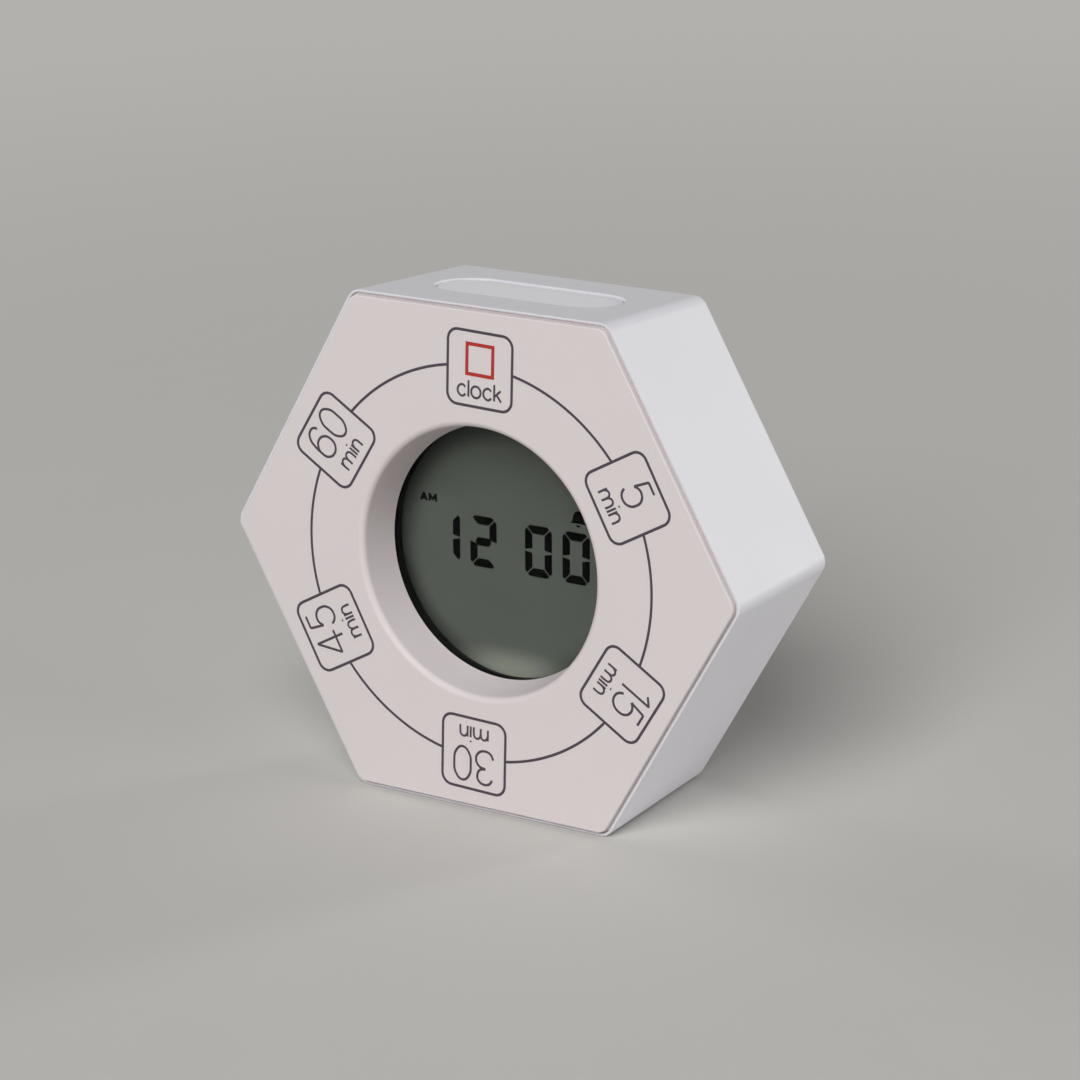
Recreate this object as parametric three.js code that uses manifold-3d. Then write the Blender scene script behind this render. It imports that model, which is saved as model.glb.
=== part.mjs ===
import * as THREE from 'three';
import { mergeVertices } from 'three/addons/utils/BufferGeometryUtils.js';
import Module from 'manifold-3d';

// A hexagonal table timer. The side that is turned up picks clock or a countdown.
// It is drawn in its own frame, in millimetres: X to the right, Y from the front rim
// into the case, Z up from the axis of the hexagon. It then leans back on its drafted base.

// Fit between pieces that rest on, or slide in, each other
const seatGap = 0.3;

// Case: a drafted hexagonal cup, open at the front
const acrossFlats = 86;
const draftDegrees = 2.44;
const cornerRadius = 2.6;
const innerCornerRadius = 1.2;
const wall = 2;
const backWall = 2;
const rimWidth = 0.7;
const edgeChamfer = 0.5;

// Front panel with the round display well
const panelThickness = 2.2;
const panelProudHeight = 0.8;
const panelCornerRadius = 2;
const panelChamfer = 0.6;
const faceBand = 17.75;
const lipRadius = 1.65;
const wellTaperWidth = 0.8;
const wellDepth = 7.6;
const lensShoulderWidth = 2;
const funnelWall = 1.6;

// Display stack behind the well
const lensThickness = 1.5;
const frameLipThickness = 0.7;
const frameOpeningMargin = 0.8;
const frameWall = 1.6;
const glassMarginX = 1.7;
const glassMarginZ = 2.3;
const glassPlyThickness = 1.1;
const glassLedgeWidth = 2.6;
const guideThickness = 2;
const guideMargin = 2.4;
const stripWidth = 1.8;
const stripInset = 3.5;
const ledWidth = 1.5;
const ledLength = 3.2;
const ledHeight = 1.5;

// Circuit board and what stands on it
const boardThickness = 1.6;
const boardBayGap = 0.4;
const boardMargin = 1.5;
const boardEdgeMargin = 3;
const chipRadius = 4;
const chipHeight = 1.6;
const chipShoulderRadius = 3.7;
const chipShoulderHeight = 0.8;
const chipCrownRadius = 2.4;
const chipCrownHeight = 1.4;
const chipGap = 2;
const crystalRadius = 1.1;
const crystalLength = 6;

// Posts and screws
const boardPostRadius = 2.6;
const boardPostHeight = 12;
const boardPostGap = 2;
const boardScrewGap = 0.9;
const boardScrewHeadRadius = 2;
const boardScrewHeadHeight = 1.3;
const boardScrewShaftRadius = 0.9;
const boardScrewLength = 7.4;
const rearPostRadius = 3;
const bossWallThickness = 1.1;
const bossWebThickness = 2;
const rearScrewHeadRadius = 2.5;
const rearScrewHeadHeight = 1.8;
const rearScrewShaftRadius = 1.2;
const rearScrewLength = 11;
const pilotSpareLength = 0.8;
const slotWidth = 0.6;
const slotDepth = 0.7;
const slotShare = 0.6;

// Two AAA cells side by side, and their contacts
const cellDiameter = 10.5;
const cellLength = 44.5;
const nubRadius = 1.9;
const nubLength = 0.8;
const cellChamfer = 0.5;
const cellSpacing = 0.7;
const cellSideGap = 0.5;
const bayOffset = -2;
const bayWall = 1.1;
const contactThickness = 0.4;
const contactWidth = 9;
const contactHeight = 8.5;
const tailWidth = 2;
const tailReach = 2.4;
const batterySpringLength = 5.2;
const batterySpringTurns = 4;
const batterySpringBaseRadius = 3.6;
const batterySpringTipRadius = 2.4;
const batterySpringWireRadius = 0.3;

// Battery door, hooked in at its lower edge
const doorThickness = 1.5;
const tabSpread = 14;
const tabWidth = 8;
const tabThickness = 1.2;
const tabLegThickness = 1;
const tabReach = 1.55;
const tabSwingGap = 0.4;
const tongueWidth = 10;
const tongueLength = 1.8;
const tongueThickness = 1;
const scoopRadius = 5;
const scoopDepth = 1;
const scoopOffset = 1;

// Keys on the back, each over a switch on the board
const keyRadius = 4;
const keyProudHeight = 0.8;
const keyChamfer = 0.5;
const keyStemRadius = 1.8;
const keySpacing = 15;
const keyBayDistance = 10;
const flangeOverlap = 0.6;
const flangeThickness = 1;
const switchSize = 6;
const switchHeight = 3.5;
const plungerRadius = 1.7;
const plungerProudHeight = 1;
const plungerLength = 2.2;
const pressTravel = 0.6;

// Press bar in the top face
const barLength = 34;
const barWidth = 12.5;
const barSunkDepth = 0.4;
const barFlangeWidth = 1;
const barStemRadius = 1.6;
const barStemOffset = 7.5;
const barSwitchHeight = 4.6;
const barPlungerRadius = 1.2;
const barPlungerProudHeight = 1.1;
const barPlungerLength = 2.3;
const barSpringSpread = 11;
const barSpringLength = 7;
const barSpringRadius = 2.4;
const barSpringWireRadius = 0.25;
const barSpringTurns = 5;
const barPostRadius = 1.4;
const barPostLength = 4;
const shelfThickness = 1.5;
const shelfBoardGap = 2;
const shelfFrontDepth = 8;

// Sound slider on the back
const sliderOffset = 19;
const sliderBayDistance = 8.1;
const sliderTravel = 4;
const knobLength = 4;
const knobHeight = 3;
const knobProudHeight = 0.6;
const sliderCoverMargin = 0.8;
const leverLength = 2.4;
const leverHeight = 1.6;
const leverDepth = 2;
const soundSwitchWall = 1.6;

// Tilt sensor: a steel ball in a round cup
const ballRadius = 2;
const cupRadius = 4.3;
const cupWall = 1;
const sensorOffset = 20;
const sensorBayDistance = 7.1;

// Buzzer in a ring on the back wall
const plateRadius = 9;
const plateThickness = 0.4;
const elementRadius = 6.5;
const elementThickness = 0.3;
const buzzerLedgeWidth = 0.8;
const buzzerChamberDepth = 1;
const buzzerRingWall = 1.1;
const buzzerRingLipHeight = 0.5;
const buzzerWallGap = 1.2;
const soundHoleRadius = 0.8;
const soundHoleCircleRadius = 4.5;
const soundHoles = 6;

// Leads inside the case
const leadRadius = 0.5;
const leadStubLength = 1.2;
const leadBowWidth = 2;
const upperLeadHeight = 3;
const lowerLeadHeight = 5;
const buzzerLeadHeight = 4;
const buzzerLeadBow = 0.5;
const leadSides = 8;
const leadSteps = 10;

// Facets: sides of round shapes, coarse where the round is small
const wellSides = 48;
const roundSides = 20;
const smallSides = 10;
const cornerSteps = 2;
const lipSteps = 4;
const wireSides = 5;
const curlSteps = 8;
const weldDistance = 1e-4;

// How far a cutter runs past the face that it opens
const overshoot = 2;

// Depths, from the front rim to the back of the case
const panelBack = panelThickness - panelProudHeight;
const wellFloor = wellDepth - panelProudHeight;
const lensFront = wellFloor + seatGap;
const lensBack = lensFront + lensThickness;
const funnelEnd = lensBack + seatGap;
const frameFront = funnelEnd + seatGap;
const glassFront = frameFront + frameLipThickness + seatGap;
const glassMiddle = glassFront + glassPlyThickness;
const glassBack = glassMiddle + glassPlyThickness;
const guideFront = glassBack + seatGap;
const guideBack = guideFront + guideThickness;
const boardFront = guideBack + seatGap;
const boardBack = boardFront + boardThickness;
const partsSeat = boardBack + seatGap;
const bayFront = boardBack + boardBayGap;
const bayFloor = bayFront + bayWall;
const cellAxis = bayFloor + seatGap + cellDiameter / 2;
const doorInside = cellAxis + cellDiameter / 2 + seatGap;
const bodyDepth = doorInside + doorThickness;
const backInside = bodyDepth - backWall;

// Widths and heights that follow from the sizes above
const draft = THREE.MathUtils.degToRad(draftDegrees);
const halfFlats = acrossFlats / 2;
const toCorner = Math.cos(Math.PI / 6);
const panelHalf = halfFlats - rimWidth - seatGap;
const mouthRadius = panelHalf - faceBand;
const throatRadius = mouthRadius - lipRadius;
const floorRadius = throatRadius - wellTaperWidth;
const lensRadius = floorRadius + lensShoulderWidth - seatGap;
const funnelRadius = floorRadius + lensShoulderWidth + funnelWall;
const glassHalfX = floorRadius + glassMarginX;
const glassHalfZ = floorRadius + glassMarginZ;
const frameHalfX = glassHalfX + seatGap + frameWall;
const frameHalfZ = glassHalfZ + seatGap + frameWall;
const cellPitch = cellDiameter + cellSpacing;
const upperCell = bayOffset + cellPitch / 2;
const lowerCell = bayOffset - cellPitch / 2;
const bayHalfX = (cellLength + batterySpringLength + 2 * contactThickness + 6 * seatGap) / 2;
const bayHalfZ = (cellPitch + cellDiameter) / 2 + cellSideGap;
const bayOuterX = bayHalfX + bayWall;
const bayTop = bayOffset + bayHalfZ + bayWall;
const bayBottom = bayOffset - bayHalfZ - bayWall;
const contactInside = bayHalfX - seatGap - contactThickness;
const nubTip = contactInside - seatGap;
const boardPostX = Math.max(
  frameHalfX + boardPostGap + boardPostRadius,
  bayOuterX + boardScrewGap + boardScrewHeadRadius,
);
const keyRise = bayTop + keyBayDistance;
const sliderRise = bayBottom - sliderBayDistance;
const sensorRise = bayBottom - sensorBayDistance;
const bossRadius = rearScrewHeadRadius + seatGap + bossWallThickness;
const rearScrewSeat = bayFront + bossWebThickness + 2 * seatGap;

// Half width of the inside of the case, measured to a flat, at a depth
function insideHalf(depth) {
  return (halfFlats - wall) * (1 - (depth * Math.tan(draft)) / halfFlats);
}

const bossReach = (insideHalf(backInside) - bossRadius - seatGap) / toCorner;
const buzzerRingRadius = plateRadius + seatGap + buzzerRingWall;
const buzzerRise = buzzerRingRadius + buzzerWallGap - insideHalf(backInside);
const buzzerSeat = backInside - buzzerChamberDepth;
const buzzerPlateFront = buzzerSeat - seatGap - plateThickness;
const buzzerElementFront = buzzerPlateFront - seatGap - elementThickness;
const buzzerRingFront = buzzerElementFront - buzzerRingLipHeight;

// The press bar lies square to the drafted top face, in a frame of its own
const barDepth = bodyDepth / 2;
const barFrame = new THREE.Group();
barFrame.position.set(0, barDepth, halfFlats - barDepth * Math.tan(draft));
barFrame.rotation.x = -draft;
barFrame.updateMatrix();
const flangeTop = -wall - seatGap;
const flangeBottom = flangeTop - flangeThickness;
const springRoom = barSpringLength + 2 * seatGap;
const shelfTop = barFrame.position.z + (flangeBottom - springRoom) * Math.cos(draft);
const boardTop = shelfTop - shelfThickness - shelfBoardGap;

// The switch under the bar stands at the top edge of the board, and the bar's stem meets it there
const barSwitchAxis = partsSeat + switchHeight / 2;
const barPlungerTop = boardTop + barPlungerProudHeight;
const barSwitchBack = barSwitchAxis - barDepth;
const barSwitchDrop = barFrame.position.z - barPlungerTop;
const barStemSide = barSwitchBack * Math.cos(draft) + barSwitchDrop * Math.sin(draft);
const barStemEnd = seatGap + (barSwitchBack + barStemRadius) * Math.sin(draft)
  - barSwitchDrop * Math.cos(draft);

const wasm = await Module();
wasm.setup();

// Welds equal corners, drops empty triangles and turns the faces outwards
function closedMesh(geometry) {
  const bare = geometry.clone();
  bare.deleteAttribute('normal');
  bare.deleteAttribute('uv');
  const welded = mergeVertices(bare, weldDistance);
  const corners = welded.index.array;
  const [a, b, c] = [new THREE.Vector3(), new THREE.Vector3(), new THREE.Vector3()];
  const kept = [];
  let volume = 0;
  for (let i = 0; i < corners.length; i += 3) {
    const [first, second, third] = corners.slice(i, i + 3);
    if (first === second || second === third || third === first) continue;
    kept.push(first, second, third);
    a.fromBufferAttribute(welded.attributes.position, first);
    b.fromBufferAttribute(welded.attributes.position, second);
    c.fromBufferAttribute(welded.attributes.position, third);
    volume += a.dot(b.cross(c));
  }
  welded.setIndex(volume < 0 ? kept.reverse() : kept);
  return welded;
}

function solid(geometry) {
  const mesh = closedMesh(geometry);
  return new wasm.Manifold(new wasm.Mesh({
    numProp: 3,
    vertProperties: mesh.attributes.position.array,
    triVerts: new Uint32Array(mesh.index.array),
  }));
}

// Joins shapes to a base, then cuts others away
function shaped(base, joined, cut) {
  let body = solid(base);
  for (const shape of joined) body = body.add(solid(shape));
  for (const shape of cut) body = body.subtract(solid(shape));
  const mesh = body.getMesh();
  const geometry = new THREE.BufferGeometry();
  geometry.setAttribute('position', new THREE.BufferAttribute(mesh.vertProperties, 3));
  geometry.setIndex(new THREE.BufferAttribute(mesh.triVerts, 1));
  geometry.computeVertexNormals();
  return geometry;
}

// A regular hexagon with a flat on top and rounded corners
function hexagon(half, radius) {
  const shape = new THREE.Shape();
  const reach = (half - radius) / toCorner;
  for (let side = 0; side < 6; side += 1) {
    const turn = (side * Math.PI) / 3;
    const [x, z] = [reach * Math.cos(turn), reach * Math.sin(turn)];
    shape.absarc(x, z, radius, turn - Math.PI / 6, turn + Math.PI / 6, false);
  }
  shape.closePath();
  return shape;
}

function pill(length, width) {
  const radius = width / 2;
  const centre = length / 2 - radius;
  const shape = new THREE.Shape();
  shape.absarc(centre, 0, radius, -Math.PI / 2, Math.PI / 2, false);
  shape.absarc(-centre, 0, radius, Math.PI / 2, (3 * Math.PI) / 2, false);
  shape.closePath();
  return shape;
}

function rectangle(halfX, halfZ) {
  return new THREE.Shape([
    new THREE.Vector2(-halfX, -halfZ),
    new THREE.Vector2(halfX, -halfZ),
    new THREE.Vector2(halfX, halfZ),
    new THREE.Vector2(-halfX, halfZ),
  ]);
}

function polygon(sides, radius, x = 0, z = 0) {
  const points = [];
  for (let side = 0; side < sides; side += 1) {
    const turn = (side * 2 * Math.PI) / sides;
    points.push(new THREE.Vector2(x + radius * Math.cos(turn), z + radius * Math.sin(turn)));
  }
  return new THREE.Shape(points);
}

// An outline in X and Z, carried from one depth to another
function prism(shape, front, back, chamfer = 0) {
  const geometry = new THREE.ExtrudeGeometry(shape, {
    depth: back - front - 2 * chamfer,
    bevelEnabled: chamfer > 0,
    bevelThickness: chamfer,
    bevelSize: chamfer,
    bevelOffset: -chamfer,
    bevelSegments: 1,
    curveSegments: cornerSteps,
  });
  geometry.translate(0, 0, chamfer - back);
  geometry.rotateX(Math.PI / 2);
  return geometry;
}

// Draws a prism in towards the axis with depth, as the mould's draft does
function drafted(geometry) {
  const position = geometry.attributes.position;
  for (let i = 0; i < position.count; i += 1) {
    const scale = 1 - (position.getY(i) * Math.tan(draft)) / halfFlats;
    position.setX(i, position.getX(i) * scale);
    position.setZ(i, position.getZ(i) * scale);
  }
  return geometry;
}

function block(low, high) {
  const size = high.map((value, i) => value - low[i]);
  const middle = high.map((value, i) => (value + low[i]) / 2);
  return new THREE.BoxGeometry(...size).translate(...middle);
}

// A round rod along the depth of the case
function rod(x, z, radius, front, back, sides = smallSides) {
  const cylinder = new THREE.CylinderGeometry(radius, radius, back - front, sides);
  return cylinder.translate(x, (front + back) / 2, z);
}

// A turned piece about the depth axis, from pairs of radius and depth
function turned(profile, sides) {
  const points = profile.map(([radius, depth]) => new THREE.Vector2(radius, depth));
  return new THREE.LatheGeometry(points, sides);
}

// A wire coil about its own Z axis
class Coil extends THREE.Curve {
  constructor(baseRadius, tipRadius, length, turns) {
    super();
    Object.assign(this, { baseRadius, tipRadius, length, turns });
  }

  getPoint(t, target = new THREE.Vector3()) {
    const radius = THREE.MathUtils.lerp(this.baseRadius, this.tipRadius, t);
    const turn = 2 * Math.PI * this.turns * t;
    return target.set(radius * Math.cos(turn), radius * Math.sin(turn), this.length * t);
  }
}

// One unbroken tube along a coil, from z = 0 to its length over the wire
function spring(name, baseRadius, tipRadius, length, turns, wire) {
  const coil = new Coil(baseRadius, tipRadius, length - 2 * wire, turns);
  const steps = turns * curlSteps;
  const points = coil.getPoints(steps);
  let least = Infinity;
  for (let i = 0; i < points.length; i += 1) {
    for (let j = i + curlSteps / 2; j < points.length; j += 1) {
      least = Math.min(least, points[i].distanceTo(points[j]) - 2 * wire);
    }
  }
  console.log(`${name}: least gap between curls ${least.toFixed(2)} mm`);
  const tube = new THREE.ExtrudeGeometry(polygon(wireSides, wire), {
    steps,
    extrudePath: coil,
    bevelEnabled: false,
  });
  return tube.translate(0, 0, wire);
}

// Colours and finishes
const finishes = {
  whiteCase: { color: 0xd9d6d6, roughness: 0.5, metalness: 0 },
  whitePanel: { color: 0xd8d2d1, roughness: 0.55, metalness: 0 },
  clearLens: { color: 0xb9c2bd, roughness: 0.08, metalness: 0 },
  displayGlass: { color: 0x6e766f, roughness: 0.2, metalness: 0 },
  blackPlastic: { color: 0x1c1c1e, roughness: 0.55, metalness: 0 },
  greyPlastic: { color: 0x8d8d92, roughness: 0.5, metalness: 0 },
  milkyGuide: { color: 0xe6e8e4, roughness: 0.35, metalness: 0 },
  greenBoard: { color: 0x1f5a3a, roughness: 0.45, metalness: 0 },
  greyRubber: { color: 0x4b4b50, roughness: 0.8, metalness: 0 },
  steel: { color: 0xb4b6ba, roughness: 0.3, metalness: 1 },
  brass: { color: 0xb9975a, roughness: 0.35, metalness: 1 },
  ceramic: { color: 0xd6d3c8, roughness: 0.4, metalness: 0 },
  cellJacket: { color: 0x4a5560, roughness: 0.35, metalness: 0 },
  redLead: { color: 0xa81f1f, roughness: 0.5, metalness: 0 },
  blackLead: { color: 0x161616, roughness: 0.5, metalness: 0 },
};

const timer = new THREE.Group();
timer.rotation.x = -draft;
const baseMiddle = bodyDepth / Math.cos(draft) / 2;
timer.position.set(0, halfFlats * Math.sin(draft) - baseMiddle, halfFlats * Math.cos(draft));
timer.add(barFrame);

function addPiece(name, geometry, finish, parent = timer) {
  const material = new THREE.MeshStandardMaterial(finishes[finish]);
  const mesh = new THREE.Mesh(closedMesh(geometry), material);
  mesh.name = name;
  parent.add(mesh);
}

// Corners of the hexagon that hold a case screw
const screwCorners = [1, 2, 4, 5].map((corner) => {
  const turn = (corner * Math.PI) / 3;
  return [bossReach * Math.cos(turn), bossReach * Math.sin(turn)];
});

const boardPosts = [
  [boardPostX, boardPostHeight],
  [-boardPostX, boardPostHeight],
  [-boardPostX, -boardPostHeight],
  [boardPostX, -boardPostHeight],
];

const keys = [['set', -keySpacing], ['up', 0], ['down', keySpacing]];

const tabs = [-tabSpread, tabSpread];

// Body shell

function bodyShell() {
  const outside = drafted(prism(hexagon(halfFlats, cornerRadius), 0, bodyDepth, edgeChamfer));
  const inside = drafted(prism(hexagon(halfFlats - wall, innerCornerRadius), -overshoot, backInside));
  const rebateOutline = hexagon(panelHalf + seatGap, panelCornerRadius + seatGap);
  const rebate = prism(rebateOutline, -overshoot, panelBack + seatGap);
  const cup = shaped(outside, [], [inside, rebate]);

  const rooted = bodyDepth - backWall / 2;
  const joined = [
    block([-bayOuterX, bayFront, bayBottom], [bayOuterX, rooted, bayTop]),
    rod(0, buzzerRise, buzzerRingRadius, buzzerRingFront, rooted, roundSides),
    block(
      [-barLength / 2, shelfFrontDepth, shelfTop - shelfThickness],
      [barLength / 2, rooted, shelfTop],
    ),
  ];
  const cut = [
    block(
      [-bayHalfX, bayFloor, bayBottom + bayWall],
      [bayHalfX, bodyDepth + overshoot, bayTop - bayWall],
    ),
    block([-bayOuterX, doorInside - seatGap, bayBottom], [bayOuterX, bodyDepth + overshoot, bayTop]),
    rod(0, bayTop - scoopOffset, scoopRadius, bodyDepth - scoopDepth, bodyDepth + overshoot, roundSides),
    rod(0, buzzerRise, plateRadius + seatGap, 0, buzzerSeat, roundSides),
    rod(0, buzzerRise, plateRadius - buzzerLedgeWidth, 0, backInside, roundSides),
    rod(0, buzzerRise, soundHoleRadius, backInside - overshoot, bodyDepth + overshoot),
  ];
  for (let hole = 0; hole < soundHoles; hole += 1) {
    const turn = (hole * 2 * Math.PI) / soundHoles;
    const x = soundHoleCircleRadius * Math.cos(turn);
    const z = buzzerRise + soundHoleCircleRadius * Math.sin(turn);
    cut.push(rod(x, z, soundHoleRadius, backInside - overshoot, bodyDepth + overshoot));
  }
  const tabFront = bodyDepth - (backInside - seatGap - tabThickness);
  const slotFront = bodyDepth - Math.hypot(tabFront, tabReach) - tabSwingGap;
  const slotTop = bayBottom + bayWall + overshoot;
  for (const x of tabs) {
    const half = tabWidth / 2 + seatGap;
    cut.push(block([x - half, slotFront, bayBottom - overshoot], [x + half, backInside, slotTop]));
    cut.push(block([x - half, slotFront, bayBottom], [x + half, doorInside, slotTop]));
  }
  for (const z of [upperCell, lowerCell]) {
    const [halfY, halfZ] = [tailWidth / 2 + seatGap, contactThickness / 2 + seatGap];
    cut.push(block(
      [-bayOuterX - overshoot, cellAxis - halfY, z - halfZ],
      [-bayHalfX + overshoot, cellAxis + halfY, z + halfZ],
    ));
  }
  const [bossFront, outsideBack] = [bayFront + seatGap, bodyDepth + overshoot];
  for (const [x, z] of screwCorners) {
    joined.push(rod(x, z, bossRadius, bossFront, rooted, roundSides));
    const boreFront = bossFront + bossWebThickness;
    cut.push(rod(x, z, rearScrewHeadRadius + seatGap, boreFront, outsideBack, roundSides));
    cut.push(rod(x, z, rearScrewShaftRadius + seatGap, bayFront - overshoot, bodyDepth));
  }
  for (const [, x] of keys) {
    cut.push(rod(x, keyRise, keyRadius + seatGap, backInside - overshoot / 2, outsideBack, roundSides));
  }
  const [knobHalfX, knobHalfZ] = [knobLength / 2 + seatGap, knobHeight / 2 + seatGap];
  cut.push(block(
    [sliderOffset - knobHalfX, backInside - overshoot / 2, sliderRise - knobHalfZ],
    [sliderOffset + sliderTravel + knobHalfX, outsideBack, sliderRise + knobHalfZ],
  ));

  const opening = new THREE.ExtrudeGeometry(pill(barLength + 2 * seatGap, barWidth + 2 * seatGap), {
    depth: wall + 2 * overshoot,
    bevelEnabled: false,
    curveSegments: 2 * cornerSteps,
  });
  cut.push(opening.translate(0, 0, -wall - overshoot).applyMatrix4(barFrame.matrix));
  const holeRadius = barStemRadius + 2 * seatGap;
  const holeLength = shelfThickness + 2 * overshoot;
  const stemHole = new THREE.CylinderGeometry(holeRadius, holeRadius, holeLength, smallSides);
  const shelfMiddle = shelfTop - shelfThickness / 2 - barFrame.position.z;
  stemHole.rotateX(Math.PI / 2).translate(barStemOffset, barStemSide, shelfMiddle);
  cut.push(stemHole.applyMatrix4(barFrame.matrix));
  return shaped(cup, joined, cut);
}

addPiece('body_shell', bodyShell(), 'whiteCase');

// Front panel: plate, display funnel and the posts that the screws bite into

function wellCutter() {
  const profile = [[0, -panelProudHeight - overshoot], [mouthRadius, -panelProudHeight - overshoot]];
  for (let step = 0; step <= lipSteps; step += 1) {
    const turn = (step * Math.PI) / 2 / lipSteps;
    const radius = mouthRadius - lipRadius * Math.sin(turn);
    profile.push([radius, -panelProudHeight + lipRadius * (1 - Math.cos(turn))]);
  }
  profile.push([floorRadius, wellFloor], [lensRadius + seatGap, wellFloor]);
  profile.push([lensRadius + seatGap, funnelEnd + overshoot], [0, funnelEnd + overshoot]);
  return turned(profile, wellSides);
}

function frontPanel() {
  const outline = hexagon(panelHalf, panelCornerRadius);
  const plate = prism(outline, -panelProudHeight, panelBack + panelChamfer, panelChamfer);
  const trim = block(
    [-acrossFlats, panelBack, -acrossFlats],
    [acrossFlats, panelBack + overshoot, acrossFlats],
  );
  const joined = [rod(0, 0, funnelRadius, panelBack / 2, funnelEnd, wellSides)];
  const cut = [wellCutter()];
  const boardPilot = partsSeat - boardScrewLength - pilotSpareLength;
  for (const [x, z] of boardPosts) {
    joined.push(rod(x, z, boardPostRadius, panelBack / 2, boardFront - seatGap));
    cut.push(rod(x, z, boardScrewShaftRadius + seatGap, boardPilot, boardFront));
  }
  const rearPilot = rearScrewSeat - rearScrewLength - pilotSpareLength;
  for (const [x, z] of screwCorners) {
    joined.push(rod(x, z, rearPostRadius, panelBack / 2, bayFront));
    cut.push(rod(x, z, rearScrewShaftRadius + seatGap, rearPilot, bayFront + overshoot));
  }
  return shaped(shaped(plate, [], [trim]), joined, cut);
}

addPiece('front_panel', frontPanel(), 'whitePanel');

// Display: window, holder, glass, contact strips and backlight

addPiece('lens_window', rod(0, 0, lensRadius, lensFront, lensBack, wellSides), 'clearLens');

function displayFrame() {
  const outside = prism(rectangle(frameHalfX, frameHalfZ), frameFront, boardFront - seatGap);
  const pocketOutline = rectangle(glassHalfX + seatGap, glassHalfZ + seatGap);
  const pocket = prism(pocketOutline, frameFront + frameLipThickness, boardFront + overshoot);
  const openingRadius = floorRadius + frameOpeningMargin;
  const opening = rod(0, 0, openingRadius, frameFront - overshoot, glassFront, wellSides);
  return shaped(outside, [], [pocket, opening]);
}

addPiece('lcd_frame', displayFrame(), 'blackPlastic');

const glassBackHalf = glassHalfZ - glassLedgeWidth;
const frontPly = block(
  [-glassHalfX, glassFront, -glassHalfZ],
  [glassHalfX, glassMiddle, glassHalfZ],
);
const backPly = block(
  [-glassHalfX, glassMiddle - glassPlyThickness / 2, -glassBackHalf],
  [glassHalfX, glassBack, glassBackHalf],
);
addPiece('lcd_glass', shaped(frontPly, [backPly], []), 'displayGlass');

const stripMiddle = (glassBackHalf + glassHalfZ + seatGap) / 2;
for (const [name, side] of [['strip_upper', 1], ['strip_lower', -1]]) {
  const strip = block(
    [-glassHalfX + stripInset, glassMiddle + seatGap, side * stripMiddle - stripWidth / 2],
    [glassHalfX - stripInset, boardFront - seatGap, side * stripMiddle + stripWidth / 2],
  );
  addPiece(name, strip, 'greyRubber');
}

const guideHalfX = glassHalfX - guideMargin;
const guideHalfZ = glassBackHalf - seatGap;
const guide = prism(rectangle(guideHalfX, guideHalfZ), guideFront, guideBack);
addPiece('backlight_guide', guide, 'milkyGuide');
const ledSide = guideHalfX + seatGap;
addPiece('backlight_led', block(
  [ledSide, boardFront - seatGap - ledHeight, -ledLength / 2],
  [ledSide + ledWidth, boardFront - seatGap, ledLength / 2],
), 'ceramic');

// Circuit board, cut to the hexagon at its corners

function mainBoard() {
  const reach = insideHalf(boardBack) - boardMargin;
  const halfX = boardPostX + boardEdgeMargin;
  const shoulder = (reach - halfX * toCorner) / Math.sin(Math.PI / 6);
  const topHalf = (reach - boardTop * Math.sin(Math.PI / 6)) / toCorner;
  const corners = [
    [halfX, -shoulder],
    [halfX, shoulder],
    [topHalf, boardTop],
    [-topHalf, boardTop],
    [-halfX, shoulder],
    [-halfX, -shoulder],
    [-topHalf, -boardTop],
    [topHalf, -boardTop],
  ];
  const outline = new THREE.Shape(corners.map(([x, z]) => new THREE.Vector2(x, z)));
  for (const [x, z] of boardPosts) {
    outline.holes.push(polygon(smallSides, boardScrewShaftRadius + seatGap, x, z));
  }
  return prism(outline, boardFront, boardBack);
}

addPiece('main_board', mainBoard(), 'greenBoard');

const chipProfile = [
  [0, 0],
  [chipRadius, 0],
  [chipShoulderRadius, chipShoulderHeight],
  [chipCrownRadius, chipCrownHeight],
  [0, chipHeight],
];
const chipSide = keySpacing + switchSize / 2 + chipGap + chipRadius;
const chip = turned(chipProfile, smallSides).translate(-chipSide, partsSeat, keyRise);
addPiece('chip_cap', chip, 'blackPlastic');
const crystal = new THREE.CylinderGeometry(crystalRadius, crystalRadius, crystalLength, smallSides);
crystal.rotateX(Math.PI / 2).translate(keySpacing + switchSize, partsSeat + crystalRadius, keyRise);
addPiece('crystal_can', crystal, 'steel');

// Tilt sensor: the ball runs round the cup's wall as the timer is turned

const cupInside = partsSeat + cupWall;
const cupOpen = cupInside + 2 * ballRadius + 2 * seatGap;
const cupProfile = [
  [0, partsSeat],
  [cupRadius + cupWall, partsSeat],
  [cupRadius + cupWall, cupOpen],
  [cupRadius, cupOpen],
  [cupRadius, cupInside],
  [0, cupInside],
];
const cup = turned(cupProfile, roundSides).translate(-sensorOffset, 0, sensorRise);
addPiece('sensor_cup', cup, 'blackPlastic');
const lidFront = cupOpen + seatGap;
const lid = rod(-sensorOffset, sensorRise, cupRadius + cupWall, lidFront, lidFront + cupWall, roundSides);
addPiece('sensor_lid', lid, 'greyPlastic');
const ball = new THREE.SphereGeometry(ballRadius, smallSides, smallSides / 2);
const ballDrop = cupRadius * Math.cos(Math.PI / roundSides) - ballRadius - seatGap;
ball.translate(-sensorOffset, cupInside + seatGap + ballRadius, sensorRise - ballDrop);
addPiece('sensor_ball', ball, 'steel');

// Buzzer

const plate = rod(0, buzzerRise, plateRadius, buzzerPlateFront, buzzerSeat - seatGap, roundSides);
addPiece('buzzer_plate', plate, 'brass');
const elementBack = buzzerElementFront + elementThickness;
const element = rod(0, buzzerRise, elementRadius, buzzerElementFront, elementBack, roundSides);
addPiece('buzzer_element', element, 'ceramic');

// Cells and contacts: the upper cell's nub points left, the lower cell's points right

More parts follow.
